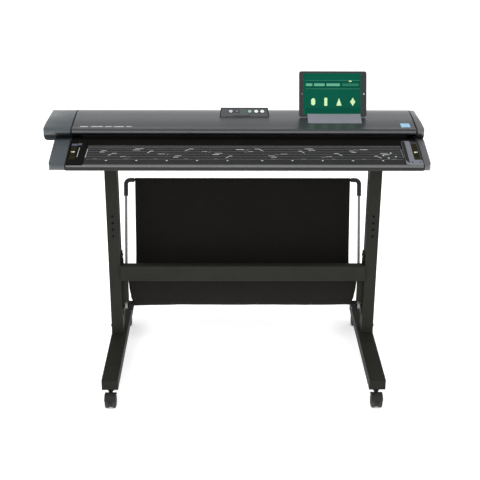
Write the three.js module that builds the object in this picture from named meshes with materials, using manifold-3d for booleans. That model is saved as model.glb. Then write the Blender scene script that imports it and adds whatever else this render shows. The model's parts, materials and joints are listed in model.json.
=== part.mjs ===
// A wide-format sheet-fed scanner on a rolling stand,
// with a cloth catch basket and a tablet in a holder on the lid.
// Millimetres, +Z up, the user stands on the -Y side. Design coordinates: X = 0 is the middle of the stand,
// Y = 0 the front edge of the feed table and Z = 0 the floor. The outer group moves the origin to the middle
// of the object's footprint.
import * as THREE from "three";
import { mergeVertices } from "three/addons/utils/BufferGeometryUtils.js";
import Module from "manifold-3d";

const wasm = await Module();
wasm.setup();

// ---------------------------------------------------------------- driving dimensions
const GAP = 0.3; // air between touching pieces
const ORIGIN = { x: 33.5, y: -230.5 }; // moves the footprint's middle to the origin

const TABLE = { z: 850, slope: 0.2436, depth: 106, half: 575, sheet: 3, face: 17 };
const PATH_Z = 889; // level of the glass and of the paper path
const LID_HALF = 573.5; // the lid swings between the end housings
const HINGE = { y: 385, z: 911, pin: 4, bore: 4.6 };
const HOUSING = { inner: 575, left: 669, leftLow: 631, right: 602, rightLow: 600, wall: 3 };

const FOOT = { outer: 486, width: 56, front: -79, back: 540, bottom: 70, top: 107, wall: 2 };
const LEG = { width: 42.5, front: 270, depth: 60, top: 782.5, wall: 2, hole: 3.5, firstHole: 570.5,
  pitch: 25.4 };
const BAR = { front: 260, depth: 26, bottom: 321.5, top: 382.5, sheet: 2.5 };
const CASTER = { inset: 25, trail: 20, radius: 25, width: 39, web: 12, axle: 3 };

const BASKET = { x: 430, pivotY: 294, pivotZ: 207, topY: 450, topZ: 645, rod: 4, tube: 5, elbow: 6.4 };
const CLOTH = { half: 397, atRod: 423, atFold: 402, thick: 3, foldY: 331, foldZ: 213, foldR: 18 };
const FRONT_ROD = { y: 304, z: 362, r: 5 };

const ROLLER = { frontY: 190, backY: 314, drive: 10, press: 8, proud: 0.8, half: 544 };
const MOTOR = { y: 250, z: 827, side: 42, shaft: 2.5 };
const PULLEY = { roller: 5.5, motor: 4, x0: -595, x1: -585 };

const TABLET = { x: 303, width: 230, height: 154, thick: 8, lean: (22 * Math.PI) / 180, y: 262, z: 940.4 };
const PANEL = { x0: -83, x1: 87, faceY: 270.5, faceZ: 937.8, run: 42, tilt: (28 * Math.PI) / 180 };
const BUTTONS = [-45, -24, 20, 42.5, 63];
const BUTTON = { r: 6.6, well: 7.2, out: 1.2, deep: 4.5, along: 24.5 };

// ---------------------------------------------------------------- materials
const paint = (color, roughness, metalness = 0) =>
  new THREE.MeshStandardMaterial({ color, roughness, metalness });
const MATERIAL = {
  casing: paint(0x4e5357, 0.42),
  endCasing: paint(0x5b6468, 0.48),
  black: paint(0x121212, 0.5),
  table: paint(0x3a3a3a, 0.5, 0.3),
  frame: paint(0x2c2d29, 0.6, 0.2),
  steel: paint(0xa8a9a6, 0.3, 0.9),
  trim: paint(0x9a9c9c, 0.35, 0.8),
  cloth: paint(0x1b1b19, 0.95),
  rubber: paint(0x262626, 0.8),
  wheel: paint(0x3c3c3a, 0.6),
  glass: paint(0x9fb5b0, 0.05),
  white: paint(0xe8e8e4, 0.6),
  module: paint(0x7b7d84, 0.5),
  button: paint(0xd8dcd8, 0.35),
  screen: paint(0x1c2322, 0.2),
  holder: paint(0x8d8f9a, 0.3),
  board: paint(0x1d5a35, 0.6),
};

const root = new THREE.Group();
const object = new THREE.Group();
object.position.set(ORIGIN.x, ORIGIN.y, 0);
root.add(object);

// ---------------------------------------------------------------- helpers
function add(name, geometry, material, parent = object) {
  const mesh = new THREE.Mesh(geometry, material);
  mesh.name = name;
  parent.add(mesh);
  return mesh;
}

function solid(geometry) {
  const bare = new THREE.BufferGeometry();
  const source = geometry.index ? geometry.toNonIndexed() : geometry;
  bare.setAttribute("position", source.getAttribute("position"));
  const merged = mergeVertices(bare, 1e-3);
  return new wasm.Manifold(
    new wasm.Mesh({
      numProp: 3,
      vertProperties: merged.attributes.position.array,
      triVerts: new Uint32Array(merged.index.array),
    }),
  );
}

function geometryOf(manifold) {
  const mesh = manifold.getMesh();
  const g = new THREE.BufferGeometry();
  g.setAttribute("position", new THREE.BufferAttribute(new Float32Array(mesh.vertProperties), 3));
  g.setIndex(new THREE.BufferAttribute(new Uint32Array(mesh.triVerts), 1));
  const flat = g.toNonIndexed();
  flat.computeVertexNormals();
  return flat;
}

const join = (...parts) => geometryOf(parts.map(solid).reduce((a, b) => a.add(b)));
const cut = (body, ...tools) => geometryOf(tools.map(solid).reduce((a, b) => a.subtract(b), solid(body)));
const common = (a, b) => geometryOf(solid(a).intersect(solid(b)));

function box(x0, x1, y0, y1, z0, z1) {
  const g = new THREE.BoxGeometry(Math.abs(x1 - x0), Math.abs(y1 - y0), Math.abs(z1 - z0));
  return g.translate((x0 + x1) / 2, (y0 + y1) / 2, (z0 + z1) / 2);
}

const shapeOf = (points) => new THREE.Shape(points.map(([a, b]) => new THREE.Vector2(a, b)));

// A (Y, Z) outline extruded along X.
function alongX(points, x0, x1, options = {}) {
  const low = Math.min(x0, x1);
  const depth = Math.abs(x1 - x0);
  const g = new THREE.ExtrudeGeometry(shapeOf(points), { depth, bevelEnabled: false, ...options });
  // the shape's (x, y, z) becomes the part's (y, z, x)
  return g.applyMatrix4(new THREE.Matrix4().set(0, 0, 1, low, 1, 0, 0, 0, 0, 1, 0, 0, 0, 0, 0, 1));
}

// A cylinder along X through (y, z).
const rodX = (y, z, r, x0, x1, sides = 20) =>
  new THREE.CylinderGeometry(r, r, Math.abs(x1 - x0),
    sides).rotateZ(Math.PI / 2).translate((x0 + x1) / 2, y, z);

const rodZ = (x, y, r, z0, z1, sides = 16) =>
  new THREE.CylinderGeometry(r, r, z1 - z0, sides).rotateX(Math.PI / 2).translate(x, y, (z0 + z1) / 2);

// A turned piece with its axis along X: profile is a list of [x, radius] that starts and ends on the axis.
function turnedX(profile, y, z, sides = 24) {
  const points = profile.map(([x, r]) => new THREE.Vector2(r, x));
  return new THREE.LatheGeometry(points, sides).rotateZ(-Math.PI / 2).translate(0, y, z);
}

// The line shifted sideways by d (to its left for d > 0), with mitred corners.
function shifted(points, d) {
  const unit = (a, b) => new THREE.Vector2(b[0] - a[0], b[1] - a[1]).normalize();
  return points.map((p, i) => {
    const before = i > 0 ? unit(points[i - 1], p) : unit(p, points[i + 1]);
    const after = i < points.length - 1 ? unit(p, points[i + 1]) : before;
    const normal = new THREE.Vector2(-before.y - after.y, before.x + after.x).normalize();
    const stretch = 1 / Math.max(0.35, -before.y * normal.x + before.x * normal.y);
    return [p[0] + normal.x * d * stretch, p[1] + normal.y * d * stretch];
  });
}

// The closed outline of a bent sheet that follows the line.
const sheet = (points, thick) => [...points, ...shifted(points, thick).reverse()];

function arc(cy, cz, r, from, to, steps) {
  return Array.from({ length: steps + 1 }, (_, i) => {
    const a = ((from + ((to - from) * i) / steps) * Math.PI) / 180;
    return [cy + r * Math.cos(a), cz + r * Math.sin(a)];
  });
}

// ---------------------------------------------------------------- stand
function leg(side) {
  const inner = FOOT.outer - LEG.width;
  const w = LEG.wall;
  const y1 = LEG.front + LEG.depth;
  const z0 = FOOT.top + GAP;
  let g = cut(
    box(side * inner, side * FOOT.outer, LEG.front, y1, z0, LEG.top),
    box(side * (inner + w), side * (FOOT.outer - w), LEG.front + w, y1 - w, z0 - 1, LEG.top + 1),
  );
  for (let i = 0; i < 4; i++) {
    const z = LEG.firstHole - i * LEG.pitch;
    const drill = new THREE.CylinderGeometry(LEG.hole, LEG.hole, 8, 12);
    g = cut(g, drill.translate(side * (FOOT.outer - LEG.width / 2), LEG.front, z));
  }
  return g;
}

function foot(side) {
  const inner = FOOT.outer - FOOT.width;
  const w = FOOT.wall;
  const mid = side * (FOOT.outer - FOOT.width / 2);
  const stem = (y) => rodZ(mid, y, 6.2, FOOT.bottom - 1, FOOT.bottom + w + 1);
  return cut(
    box(side * inner, side * FOOT.outer, FOOT.front, FOOT.back, FOOT.bottom, FOOT.top),
    box(side * (inner + w), side * (FOOT.outer - w), FOOT.front + w, FOOT.back - w, FOOT.bottom + w,
      FOOT.top - w),
    stem(FOOT.front + CASTER.inset),
    stem(FOOT.back - CASTER.inset),
  );
}

// An angle bracket inside the leg: the crossbar is bolted to its front flange,
// and the basket turns on its stud.
function bracket(side) {
  const face = FOOT.outer - LEG.width - GAP;
  const flange = side * (face - 24);
  const top = 415;
  const y0 = BAR.front + BAR.depth + GAP;
  const plate = alongX(
    [[y0, 190], [y0, top - 12], [y0 + 10, top], [334, top], [334, 176], [312, 158], [y0 + 6, 172]],
    side * (face - 3),
    side * face,
  );
  const lower = box(flange, side * face, y0, y0 + 3, 226, BAR.top - 4);
  const upper = box(side * (face - 10), side * face, y0, y0 + 3, 222, top - 14);
  const stud = rodX(BASKET.pivotY, BASKET.pivotZ, 3.9, side * (face - 1), side * 418, 16);
  return join(plate, lower, upper, stud);
}

function crossbar() {
  const { front, depth, bottom, top, sheet: t } = BAR;
  const line = [[front + depth, top], [front + 3, top], [front, top - 3], [front, bottom + 3],
    [front + 3, bottom], [front + depth, bottom]];
  const end = FOOT.outer - LEG.width - GAP;
  return alongX(sheet(line, t), -end, end);
}

// A support arm on top of each leg, under the scanner.
function topArm(side) {
  const x0 = side * 447;
  const x1 = side * 482;
  const z0 = LEG.top + GAP;
  return cut(box(x0, x1, 166, 412, z0, 802.6), box(x0 + side * 2, x1 - side * 2, 168, 410, z0 + 2, 803));
}

for (const [word, side] of [["left", -1], ["right", 1]]) {
  add(`${word}_leg`, leg(side), MATERIAL.frame);
  add(`${word}_foot`, foot(side), MATERIAL.frame);
  add(`${word}_bracket`, bracket(side), MATERIAL.frame);
  add(`${word}_top_arm`, topArm(side), MATERIAL.frame);
}
add("crossbar", crossbar(), MATERIAL.frame);

// ---------------------------------------------------------------- twin-wheel casters
function casterHousing(x, y, trail) {
  const { radius, width, web, axle } = CASTER;
  const ay = y + trail;
  const hood = alongX(
    [...arc(ay, radius, radius + 3.6, 25, 155, 12), ...arc(ay, radius, radius + 1.4, 155, 25, 12)],
    x - width / 2,
    x + width / 2,
  );
  const cheek = rodX(ay, radius, radius - 3, x - web / 2 + 0.6, x + web / 2 - 0.6, 24);
  const bridge = box(x - web / 2 + 0.6, x + web / 2 - 0.6, Math.min(y, ay) - 8, Math.max(y, ay) + 8, 34, 56);
  const boss = rodZ(x, y, 8, 44, FOOT.bottom - 1.2);
  const stem = rodZ(x, y, 5.5, 60, FOOT.bottom + 24);
  return cut(
    join(hood, cheek, bridge, common(boss, box(x - 20, x + 20, y - 20, y + 20, 54, 90)), stem),
    rodX(ay, radius, axle + 0.6, x - 30, x + 30, 16),
    rodX(ay, radius, radius + 1.4, x - width / 2 - 1, x - web / 2 + 0.4, 24),
    rodX(ay, radius, radius + 1.4, x + web / 2 - 0.4, x + width / 2 + 1, 24),
  );
}

function casterWheels(x, y) {
  const { radius: r, width, web, axle } = CASTER;
  const half = width / 2;
  const side = [[half, 0], [half, 9], [half - 2, 11], [half - 2, r - 6], [half, r - 5],
    [half - 2.5, r], [web / 2 + 1.5, r], [web / 2, r - 2], [web / 2, axle]];
  const profile = [...side, ...side.map(([a, b]) => [-a, b]).reverse()];
  return turnedX(profile.reverse(), 0, 0).translate(x, y, r);
}

for (const [word, side] of [["left", -1], ["right", 1]]) {
  const x = side * (FOOT.outer - FOOT.width / 2);
  const places = [["front", FOOT.front + CASTER.inset, -CASTER.trail],
    ["rear", FOOT.back - CASTER.inset, CASTER.trail]];
  for (const [end, y, trail] of places) {
    add(`${end}_${word}_caster_housing`, casterHousing(x, y, trail), MATERIAL.black);
    add(`${end}_${word}_caster_wheels`, casterWheels(x, y + trail), MATERIAL.wheel);
  }
}

// ---------------------------------------------------------------- catch basket
const basketRise = new THREE.Vector2(BASKET.topY - BASKET.pivotY, BASKET.topZ - BASKET.pivotZ);
const basketLength = basketRise.length();
const basketTurn = Math.atan2(basketRise.x, basketRise.y); // lean back from upright

// The frame is drawn upright from its pivot and leant back about it.
const basket = new THREE.Group();
basket.position.set(0, BASKET.pivotY, BASKET.pivotZ);
basket.rotation.x = -basketTurn;
object.add(basket);

const ELBOW = { bend: 15, down: 58, along: 30, socket: 18 };

function basketRod(side) {
  const x = side * BASKET.x;
  const eye = rodX(0, 0, 11, x - 4, x + 4, 20);
  const rod = rodZ(x, 0, BASKET.rod, 6, basketLength - ELBOW.down + ELBOW.socket - GAP, 16);
  return cut(join(eye, rod), rodX(0, 0, 4.5, x - 10, x + 10, 16));
}

class ElbowCurve extends THREE.Curve {
  constructor(side) {
    super();
    this.side = side;
  }
  getPoint(t, target = new THREE.Vector3()) {
    const { bend, down, along } = ELBOW;
    const turn = (Math.PI / 2) * bend;
    const straight = down - bend;
    const s = t * (straight + turn + along - bend);
    let inward = 0;
    let z = basketLength - down + s;
    if (s > straight && s <= straight + turn) {
      const a = (s - straight) / bend;
      inward = bend * (1 - Math.cos(a));
      z = basketLength - bend + bend * Math.sin(a);
    } else if (s > straight + turn) {
      inward = bend + s - straight - turn;
      z = basketLength;
    }
    return target.set(this.side * (BASKET.x - inward), 0, z);
  }
}

function elbow(side) {
  const ring = shapeOf(arc(0, 0, BASKET.elbow, 0, 330, 11));
  const body = new THREE.ExtrudeGeometry(ring, { steps: 22, extrudePath: new ElbowCurve(side) });
  const x = side * BASKET.x;
  const low = basketLength - ELBOW.down;
  const end = side * (BASKET.x - ELBOW.along);
  return cut(
    body,
    rodZ(x, 0, BASKET.rod + 0.4, low - 2, low + ELBOW.socket, 16),
    rodX(0, basketLength, BASKET.tube + 0.3, end - side * 2, end + side * 12, 16),
  );
}

const topTubeHalf = BASKET.x - ELBOW.along + 11;
for (const [word, side] of [["left", -1], ["right", 1]]) {
  add(`basket_${word}_rod`, basketRod(side), MATERIAL.steel, basket);
  add(`basket_${word}_elbow`, elbow(side), MATERIAL.black, basket);
}
add("basket_top_tube", rodX(0, basketLength, BASKET.tube, -topTubeHalf, topTubeHalf, 16),
  MATERIAL.black, basket);

// The rear cloth hangs from the top tube to the trough and turns with the frame.
function rearCloth() {
  const line = [[6, basketLength - 9], [44, 46]];
  return alongX(sheet(line, CLOTH.thick), -CLOTH.half, CLOTH.half);
}
add("basket_rear_cloth", rearCloth(), MATERIAL.cloth, basket);

// The front cloth hangs from the fixed rod behind the crossbar and turns up under the trough.
function frontCloth() {
  const { foldY, foldZ, foldR, thick, atRod, atFold } = CLOTH;
  const high = FRONT_ROD.z - FRONT_ROD.r - 2;
  const line = [[FRONT_ROD.y, high], ...arc(foldY, foldZ, foldR, 180, 340, 10)];
  const strip = alongX(sheet(line, thick), -atRod, atRod);
  const low = foldZ - foldR - thick;
  const taper = [[-atFold, low], [atFold, low], [atFold, foldZ + 12], [atRod, high + 4], [-atRod, high + 4]];
  const outline = shapeOf([...taper, [-atFold, foldZ + 12]]);
  const block = new THREE.ExtrudeGeometry(outline, { depth: 100, bevelEnabled: false });
  return common(strip, block.rotateX(Math.PI / 2).translate(0, foldY + 50, 0));
}
add("basket_front_cloth", frontCloth(), MATERIAL.cloth);
add("basket_front_rod", rodX(FRONT_ROD.y, FRONT_ROD.z, FRONT_ROD.r, -439.8, 439.8, 16), MATERIAL.frame);

// A star knob on each stud clamps the basket frame.
function knob(side) {
  const outline = Array.from({ length: 24 }, (_, i) => {
    const r = 17 + (i % 4 < 2 ? 0 : -2.6);
    const a = (i * Math.PI) / 12;
    return [BASKET.pivotY + r * Math.cos(a), BASKET.pivotZ + r * Math.sin(a)];
  });
  const head = alongX(outline, side * 405, side * 420);
  const neck = rodX(BASKET.pivotY, BASKET.pivotZ, 7, side * 419, side * 425.4, 20);
  return cut(join(head, neck), rodX(BASKET.pivotY, BASKET.pivotZ, 4.4, side * 417, side * 430, 16));
}
add("left_basket_knob", knob(-1), MATERIAL.black);
add("right_basket_knob", knob(1), MATERIAL.black);

// ---------------------------------------------------------------- scanner base
const tableZ = (y) => TABLE.z + TABLE.slope * y;

function feedTable() {
  const ribs = [21, 36.5, 52, 67.5, 83, 98.5].flatMap((y) => [
    [y, tableZ(y)], [y + 0.6, tableZ(y) - 0.9], [y + 2.6, tableZ(y) - 0.5], [y + 3.2, tableZ(y + 3.2)],
  ]);
  const { z, face, depth, sheet: t, half } = TABLE;
  const low = z - face;
  const step = [[0, z - 4.8], [2.4, z - 4.8], [2.4, z - 2.3], [8.8, tableZ(8.8) - 2.4], [8.8, tableZ(8.8)]];
  const nose = [[12, low], [2, low], [0, low + 3], ...step];
  const under = [[depth, tableZ(depth) - t], [9.5, tableZ(9.5) - 5], [4.5, z - 6.5], [4.5, low + 3],
    [12, low + 3]];
  const plate = alongX([...nose, ...ribs, [depth, tableZ(depth)], ...under], -half + GAP, half - GAP);
  return cut(plate, latchWell(-1), latchWell(1));
}

// A bright angle strip along the table's front edge.
function trimStrip() {
  const z = TABLE.z;
  const line = [[8, tableZ(8)], [1.6, z + 0.2], [0.5, z - 0.9], [0.2, z - 4.4]];
  return alongX(sheet(line, 1.7), -TABLE.half + 1, TABLE.half - 1);
}

// In-plane pieces on the sloping table are drawn flat and turned about the table's front edge.
const slopeAngle = Math.atan(TABLE.slope);
const onTable = (g) => g.rotateX(slopeAngle).translate(0, 0, TABLE.z);
const LATCH = { x0: 551, x1: 568, s0: 62, s1: 98 };

const latchWell = (side) =>
  onTable(box(side * (LATCH.x0 - 0.8), side * (LATCH.x1 + 0.8), LATCH.s0 - 0.8, LATCH.s1 + 0.8, -12, 8));

// A frame round the recess that holds the latch, lying on the table at each end.
function cornerModule(side) {
  const outline = [[520, 8], [524, 4], [574.5, 4], [574.5, 150], [524, 150],
    [520, 146]].map(([x, s]) => [side * x, s]);
  const g = new THREE.ExtrudeGeometry(shapeOf(outline),
    { depth: 4, bevelEnabled: false }).translate(0, 0, GAP);
  return onTable(cut(g, box(side * 549, side * 570, 33, 140, -1, 8)));
}

const latch = (side) =>
  onTable(box(side * LATCH.x0, side * LATCH.x1, LATCH.s0, LATCH.s1, -3, 3.4));

// The black guide carries the paper from the table over the rollers and glass and down to the rear exit.
function guidePlate() {
  const y0 = TABLE.depth + GAP;
  const line = [[y0, tableZ(y0)], [160, PATH_Z], [345, PATH_Z], [432, 863], [434.5, 857]];
  const plate = alongX(sheet(line.reverse(), 2.5), -TABLE.half + 2.4, TABLE.half - 2.4);
  const window = (y, dy, half) => box(-half, half, y - dy, y + dy, 877, 897);
  return cut(plate, window(ROLLER.frontY, 9.5, 547), window(ROLLER.backY, 9.5, 547), window(252, 48.6, 547));
}

const panBottom = [[12, 831], [150, 803], [415, 803], [434, 822], [434, 853]];

// A sheet-metal tray with end walls that carry the roller shafts.
function chassis() {
  const pan = alongX(sheet(panBottom, 2), -570.5, 570.5);
  const wall = (x) =>
    alongX([[16, 833], [150, 804], [415, 804], [433, 823], [433, 851], [345, 883], [162, 883],
      [20, 845]], x - 1.5, x + 1.5);
  const shaft = (y, z, r) => rodX(y, z, r, -585, 585, 16);
  const driveZ = PATH_Z + ROLLER.proud - ROLLER.drive;
  return cut(
    join(pan, wall(-571.5), wall(571.5)),
    shaft(ROLLER.frontY, driveZ, 4.6),
    shaft(ROLLER.backY, driveZ, 4.6),
    rodX(MOTOR.y, MOTOR.z, MOTOR.shaft + 0.6, -585, -555, 16),
    box(-561, -479, 425, 440, 825, 851),
  );
}

function driveRoller(y) {
  const z = PATH_Z + ROLLER.proud - ROLLER.drive;
  const { half, drive: r } = ROLLER;
  const p = PULLEY;
  return turnedX(
    [[p.x0 - 2, 0], [p.x0 - 2, 4], [p.x0, 4], [p.x0, p.roller], [p.x1, p.roller], [p.x1, 4],
      [-half, 4], [-half, r], [half, r], [half, 4], [582, 4], [582, 0]],
    y,
    z,
    20,
  );
}

function pressureRoller(y) {
  const { half, press: r } = ROLLER;
  const z = PATH_Z + ROLLER.proud + GAP + r;
  return turnedX([[-573, 0], [-573, 3], [-half, 3], [-half, r], [half, r], [half, 3], [573, 3],
    [573, 0]], y, z, 20);
}

function motorPulley() {
  const { x0, x1, motor: r } = PULLEY;
  return turnedX([[x0, 0], [x0, r], [x1, r], [x1, MOTOR.shaft], [-569.6, MOTOR.shaft], [-569.6, 0]],
    MOTOR.y, MOTOR.z, 20);
}

function motor() {
  const half = MOTOR.side / 2;
  const c = half - 5;
  const octagon = [[half, -c], [half, c], [c, half], [-c, half], [-half, c], [-half, -c], [-c, -half],
    [c, -half]];
  return alongX(octagon.map(([a, b]) => [MOTOR.y + a, MOTOR.z + b]), -569.2, -525);
}

// The convex outline round three circles, for the toothed belt.
function beltLine(extra) {
  const z = PATH_Z + ROLLER.proud - ROLLER.drive;
  const circles = [[ROLLER.frontY, z, PULLEY.roller], [ROLLER.backY, z, PULLEY.roller],
    [MOTOR.y, MOTOR.z, PULLEY.motor]];
  const points = circles.flatMap(([y, cz, r]) => arc(y, cz, r + extra, 0, 345, 23)).sort((a,
    b) => a[0] - b[0] || a[1] - b[1]);
  const turn = (o, a, b) => (a[0] - o[0]) * (b[1] - o[1]) - (a[1] - o[1]) * (b[0] - o[0]);
  const half = (list) => {
    const h = [];
    for (const p of list) {
      while (h.length > 1 && turn(h[h.length - 2], h[h.length - 1], p) <= 0) h.pop();
      h.push(p);
    }
    return h.slice(0, -1);
  };
  return [...half(points), ...half([...points].reverse())];
}

const belt = () =>
  cut(alongX(beltLine(1.6), PULLEY.x0 + 1, PULLEY.x1 - 1), alongX(beltLine(0.35), PULLEY.x0, PULLEY.x1));

// Five contact sensor modules, staggered on one carrier.
function sensorBar() {
  const modules = [-2, -1, 0, 1, 2].map((i) => {
    const y = i % 2 ? 256 : 216;
    return box(i * 209 - 109, i * 209 + 109, y, y + 32, 857, 883);
  });
  return join(box(-530, 530, 212, 292, 851, 861), ...modules);
}

function controlBoard() {
  const posts = [[-532, 338], [-348, 338], [-532, 402],
    [-348, 402]].map(([x, y]) => rodZ(x, y, 3, 805.4, 810, 10));
  const chips = [box(-500, -470, 350, 380, 810, 814), box(-440, -415, 345, 395, 810, 825),
    box(-400, -360, 352, 366, 810, 820)];
  return join(box(-540, -340, 330, 410, 809, 811), ...posts, ...chips);
}

// The power inlet and data socket share one moulded insert in the rear wall.
function connectorPanel() {
  const body = box(-560.4, -479.6, 426, 436.4, 825.6, 850.4);
  return cut(body, box(-554, -526, 428.5, 440, 828.5, 847.5), box(-512, -500, 429, 440, 832, 844),
    box(-494, -486, 429, 440, 834, 842));
}

// The (Y, Z) outlines of the end housings: a low part beside the table and a high part beside the lid.
const lowProfile = [[6, 833.5], [1, 838], [0, 844], [2, 850.5], [60, 865], [150, 886.5], [190, 890]];
const lowBack = [[430, 893], [437, 873], [438, 827], [431, 810], [415, 803], [150, 803]];
const lowOutline = [...lowProfile, ...lowBack];
const highFront = [[196, 875], [169, 902], [160.5, 911], [160.5, 917.5], [164, 921], [190, 925.2],
  [236, 931.7]];
const highBack = [[290, 936.9], [338, 938.5], [362, 934.5], [382, 928], [402, 916], [418, 899.5], [430, 877]];
const highOutline = [...highFront, ...highBack];

// An outline along X whose outer end is rounded in plan and in front view.
function roundedEnd(outline, side, outer, { plan, brow, under }) {
  const { inner } = HOUSING;
  const front = Math.min(...outline.map(([y]) => y));
  const low = Math.min(...outline.map(([, z]) => z));
  const top = Math.max(...outline.map(([, z]) => z));
  const nose = arc(outer - plan, front + plan, plan, -90, 0, 6);
  const tail = arc(outer - plan, 440 - plan, plan, 0, 90, 6);
  const foot = arc(outer - under, low + under, under, -90, 0, 4);
  const over = arc(outer - brow, top - brow, brow, 0, 90, 6);
  const mirror = (points) => points.map(([x, v]) => [side * x, v]);
  const flat = { depth: 500, bevelEnabled: false };
  const seen = shapeOf(mirror([[inner, front - 1], ...nose, ...tail, [inner, 440]]));
  const faced = shapeOf(mirror([[inner, low - 1], [outer - under, low - 1], ...foot, ...over,
    [inner, top + 1]]));
  const fromAbove = new THREE.ExtrudeGeometry(seen, flat).translate(0, 0, 600);
  const fromFront = new THREE.ExtrudeGeometry(faced, flat).rotateX(Math.PI / 2).translate(0, 480, 0);
  return common(common(alongX(outline, side * (inner - 1), side * (outer + 1)), fromAbove), fromFront);
}

// The inside of an end housing: the lower room is open to the machine, and the upper one opens into it.
const lowRoomFront = [[26, 838], [26, 848], [60, 860], [150, 881], [190, 885]];
const lowRoomBack = [[425, 886], [431, 872], [433, 829], [427, 815], [413, 809], [150, 809]];
const highRoomFront = [[204, 882], [186, 898], [170, 908], [170, 912], [190, 916], [236, 922]];
const highRoomBack = [[290, 927], [336, 928.5], [358, 925], [376, 919], [394, 908.5], [408, 896], [416, 882]];

function housing(side, lowOuter, highOuter) {
  const { inner, wall } = HOUSING;
  const low = roundedEnd(lowOutline, side, lowOuter, { plan: 20, brow: 4, under: 9 });
  const high = roundedEnd(highOutline, side, highOuter, { plan: 13, brow: 16, under: 10 });
  const lowRoom = alongX([...lowRoomFront, ...lowRoomBack], side * (inner - 1), side * (lowOuter - 12));
  const highRoom = alongX([...highRoomFront, ...highRoomBack], side * (inner + wall),
    side * (highOuter - 10));
  const beltRoom = box(side * (inner - 1), side * (lowOuter - 12), 181, 400, 870, 887.6);
  const pin = rodX(HINGE.y, HINGE.z, HINGE.pin, side * (inner + 1), side * 568.5, 16);
  return join(cut(join(low, high), lowRoom, highRoom, beltRoom), pin);
}

add("feed_table", feedTable(), MATERIAL.table);
add("front_trim_strip", trimStrip(), MATERIAL.trim);
add("left_corner_module", cornerModule(-1), MATERIAL.module);
add("right_corner_module", cornerModule(1), MATERIAL.module);
add("left_lid_latch", latch(-1), MATERIAL.black);
add("right_lid_latch", latch(1), MATERIAL.black);
add("guide_plate", guidePlate(), MATERIAL.black);
add("base_chassis", chassis(), MATERIAL.frame);
add("scan_glass", box(-546, 546, 204, 300, PATH_Z - 3.2, PATH_Z), MATERIAL.glass);
add("sensor_bar", sensorBar(), MATERIAL.black);
add("front_drive_roller", driveRoller(ROLLER.frontY), MATERIAL.rubber);
add("rear_drive_roller", driveRoller(ROLLER.backY), MATERIAL.rubber);
add("drive_motor", motor(), MATERIAL.steel);
add("motor_pulley", motorPulley(), MATERIAL.steel);
add("drive_belt", belt(), MATERIAL.rubber);
add("control_board", controlBoard(), MATERIAL.board);
add("connector_panel", connectorPanel(), MATERIAL.black);
add("left_end_housing", housing(-1, HOUSING.leftLow, HOUSING.left), MATERIAL.endCasing);
add("right_end_housing", housing(1, HOUSING.rightLow, HOUSING.right), MATERIAL.endCasing);

// ---------------------------------------------------------------- lid
const lidFront = [[167, 905], [162.5, 907.5], [160.5, 912], [161, 917.5], [165.5, 921.8], [190, 926],
  [236, 932.5]];
const lidBack = [[290, 938], [318, 940.2], [335, 940.6], [352, 938.3], [372, 932.6], [392, 923],
  [408, 910], [414.5, 901.5]];
const lidLine = [...lidFront, ...lidBack];
const lidTopZ = (y) => {
  const i = lidLine.findIndex((p, k) => k > 3 && p[0] >= y);
  const [a, b] = [lidLine[i - 1], lidLine[i]];
  return a[1] + ((b[1] - a[1]) * (y - a[0])) / (b[0] - a[0]);
};

const lidShell = () => alongX(sheet(lidLine, -2.5), -LID_HALF, LID_HALF);

// The lid's inner frame arches over both pressure rollers, and its end plates turn on the housings' pins.
function lidChassis() {
  const line = [[171, 908.4], [181, 897.6], [181, 911], [200, 911], [200, 898.2], [304, 898.2],
    [304, 911], [324, 911], [324, 897.6], [350, 897.6], [392, 904]];
  const body = alongX(sheet(line, 2), -570, 570);
  const rim = shifted(lidLine, -3.2).slice(3, -1);
  const plate = (x) => alongX([...rim, [406, 902], [392, 903], [350, 897.6], [182, 897.6],
    [171, 908.4]], x - 1.6, x + 1.6);
  const z = PATH_Z + ROLLER.proud + GAP + ROLLER.press;
  const bore = (y, cz, r) => rodX(y, cz, r, -585, 585, 16);
  return cut(
    join(body, plate(-570.6), plate(570.6)),
    bore(ROLLER.frontY, z, 3.6),
    bore(ROLLER.backY, z, 3.6),
    bore(HINGE.y, HINGE.z, HINGE.bore),
  );
}

// Drawn with the panel's face in the plane z = 0, then tilted and set on the lid.
const onFace = (g) => g.rotateX(PANEL.tilt).translate(0, PANEL.faceY, PANEL.faceZ);

function controlPanel() {
  const { x0, x1, faceY, faceZ, run, tilt } = PANEL;
  const crest = [faceY + run * Math.cos(tilt), faceZ + run * Math.sin(tilt)];
  const onLid = (y) => [y, lidTopZ(y) + GAP];
  const back = [[343, 948], [crest[0] + 6, crest[1] - 0.6], crest];
  const body = alongX([onLid(faceY), onLid(290), onLid(318), onLid(335), onLid(350), ...back,
    [faceY, faceZ]], x0, x1);
  const at = body.getAttribute("position");
  const mid = (x0 + x1) / 2;
  for (let i = 0; i < at.count; i++) {
    const taper = 1 - 0.0013 * (at.getY(i) - faceY);
    at.setX(i, mid + (at.getX(i) - mid) * taper);
  }
  const wells = BUTTONS.map((x) => onFace(rodZ(x, BUTTON.along, BUTTON.well, -BUTTON.deep - 1.5, 3, 20)));
  return cut(body, ...wells);
}

const panelButton = (x) => onFace(rodZ(x, BUTTON.along, BUTTON.r, -BUTTON.deep, BUTTON.out, 20));

// The tablet stands behind the lip of a smooth ramp and leans on a back rest.
const lean = { up: [Math.sin(TABLET.lean), Math.cos(TABLET.lean)],
  out: [-Math.cos(TABLET.lean), Math.sin(TABLET.lean)] };
const atTablet = (up, out) => [
  TABLET.y + lean.up[0] * up + lean.out[0] * out,
  TABLET.z + lean.up[1] * up + lean.out[1] * out,
];

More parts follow.
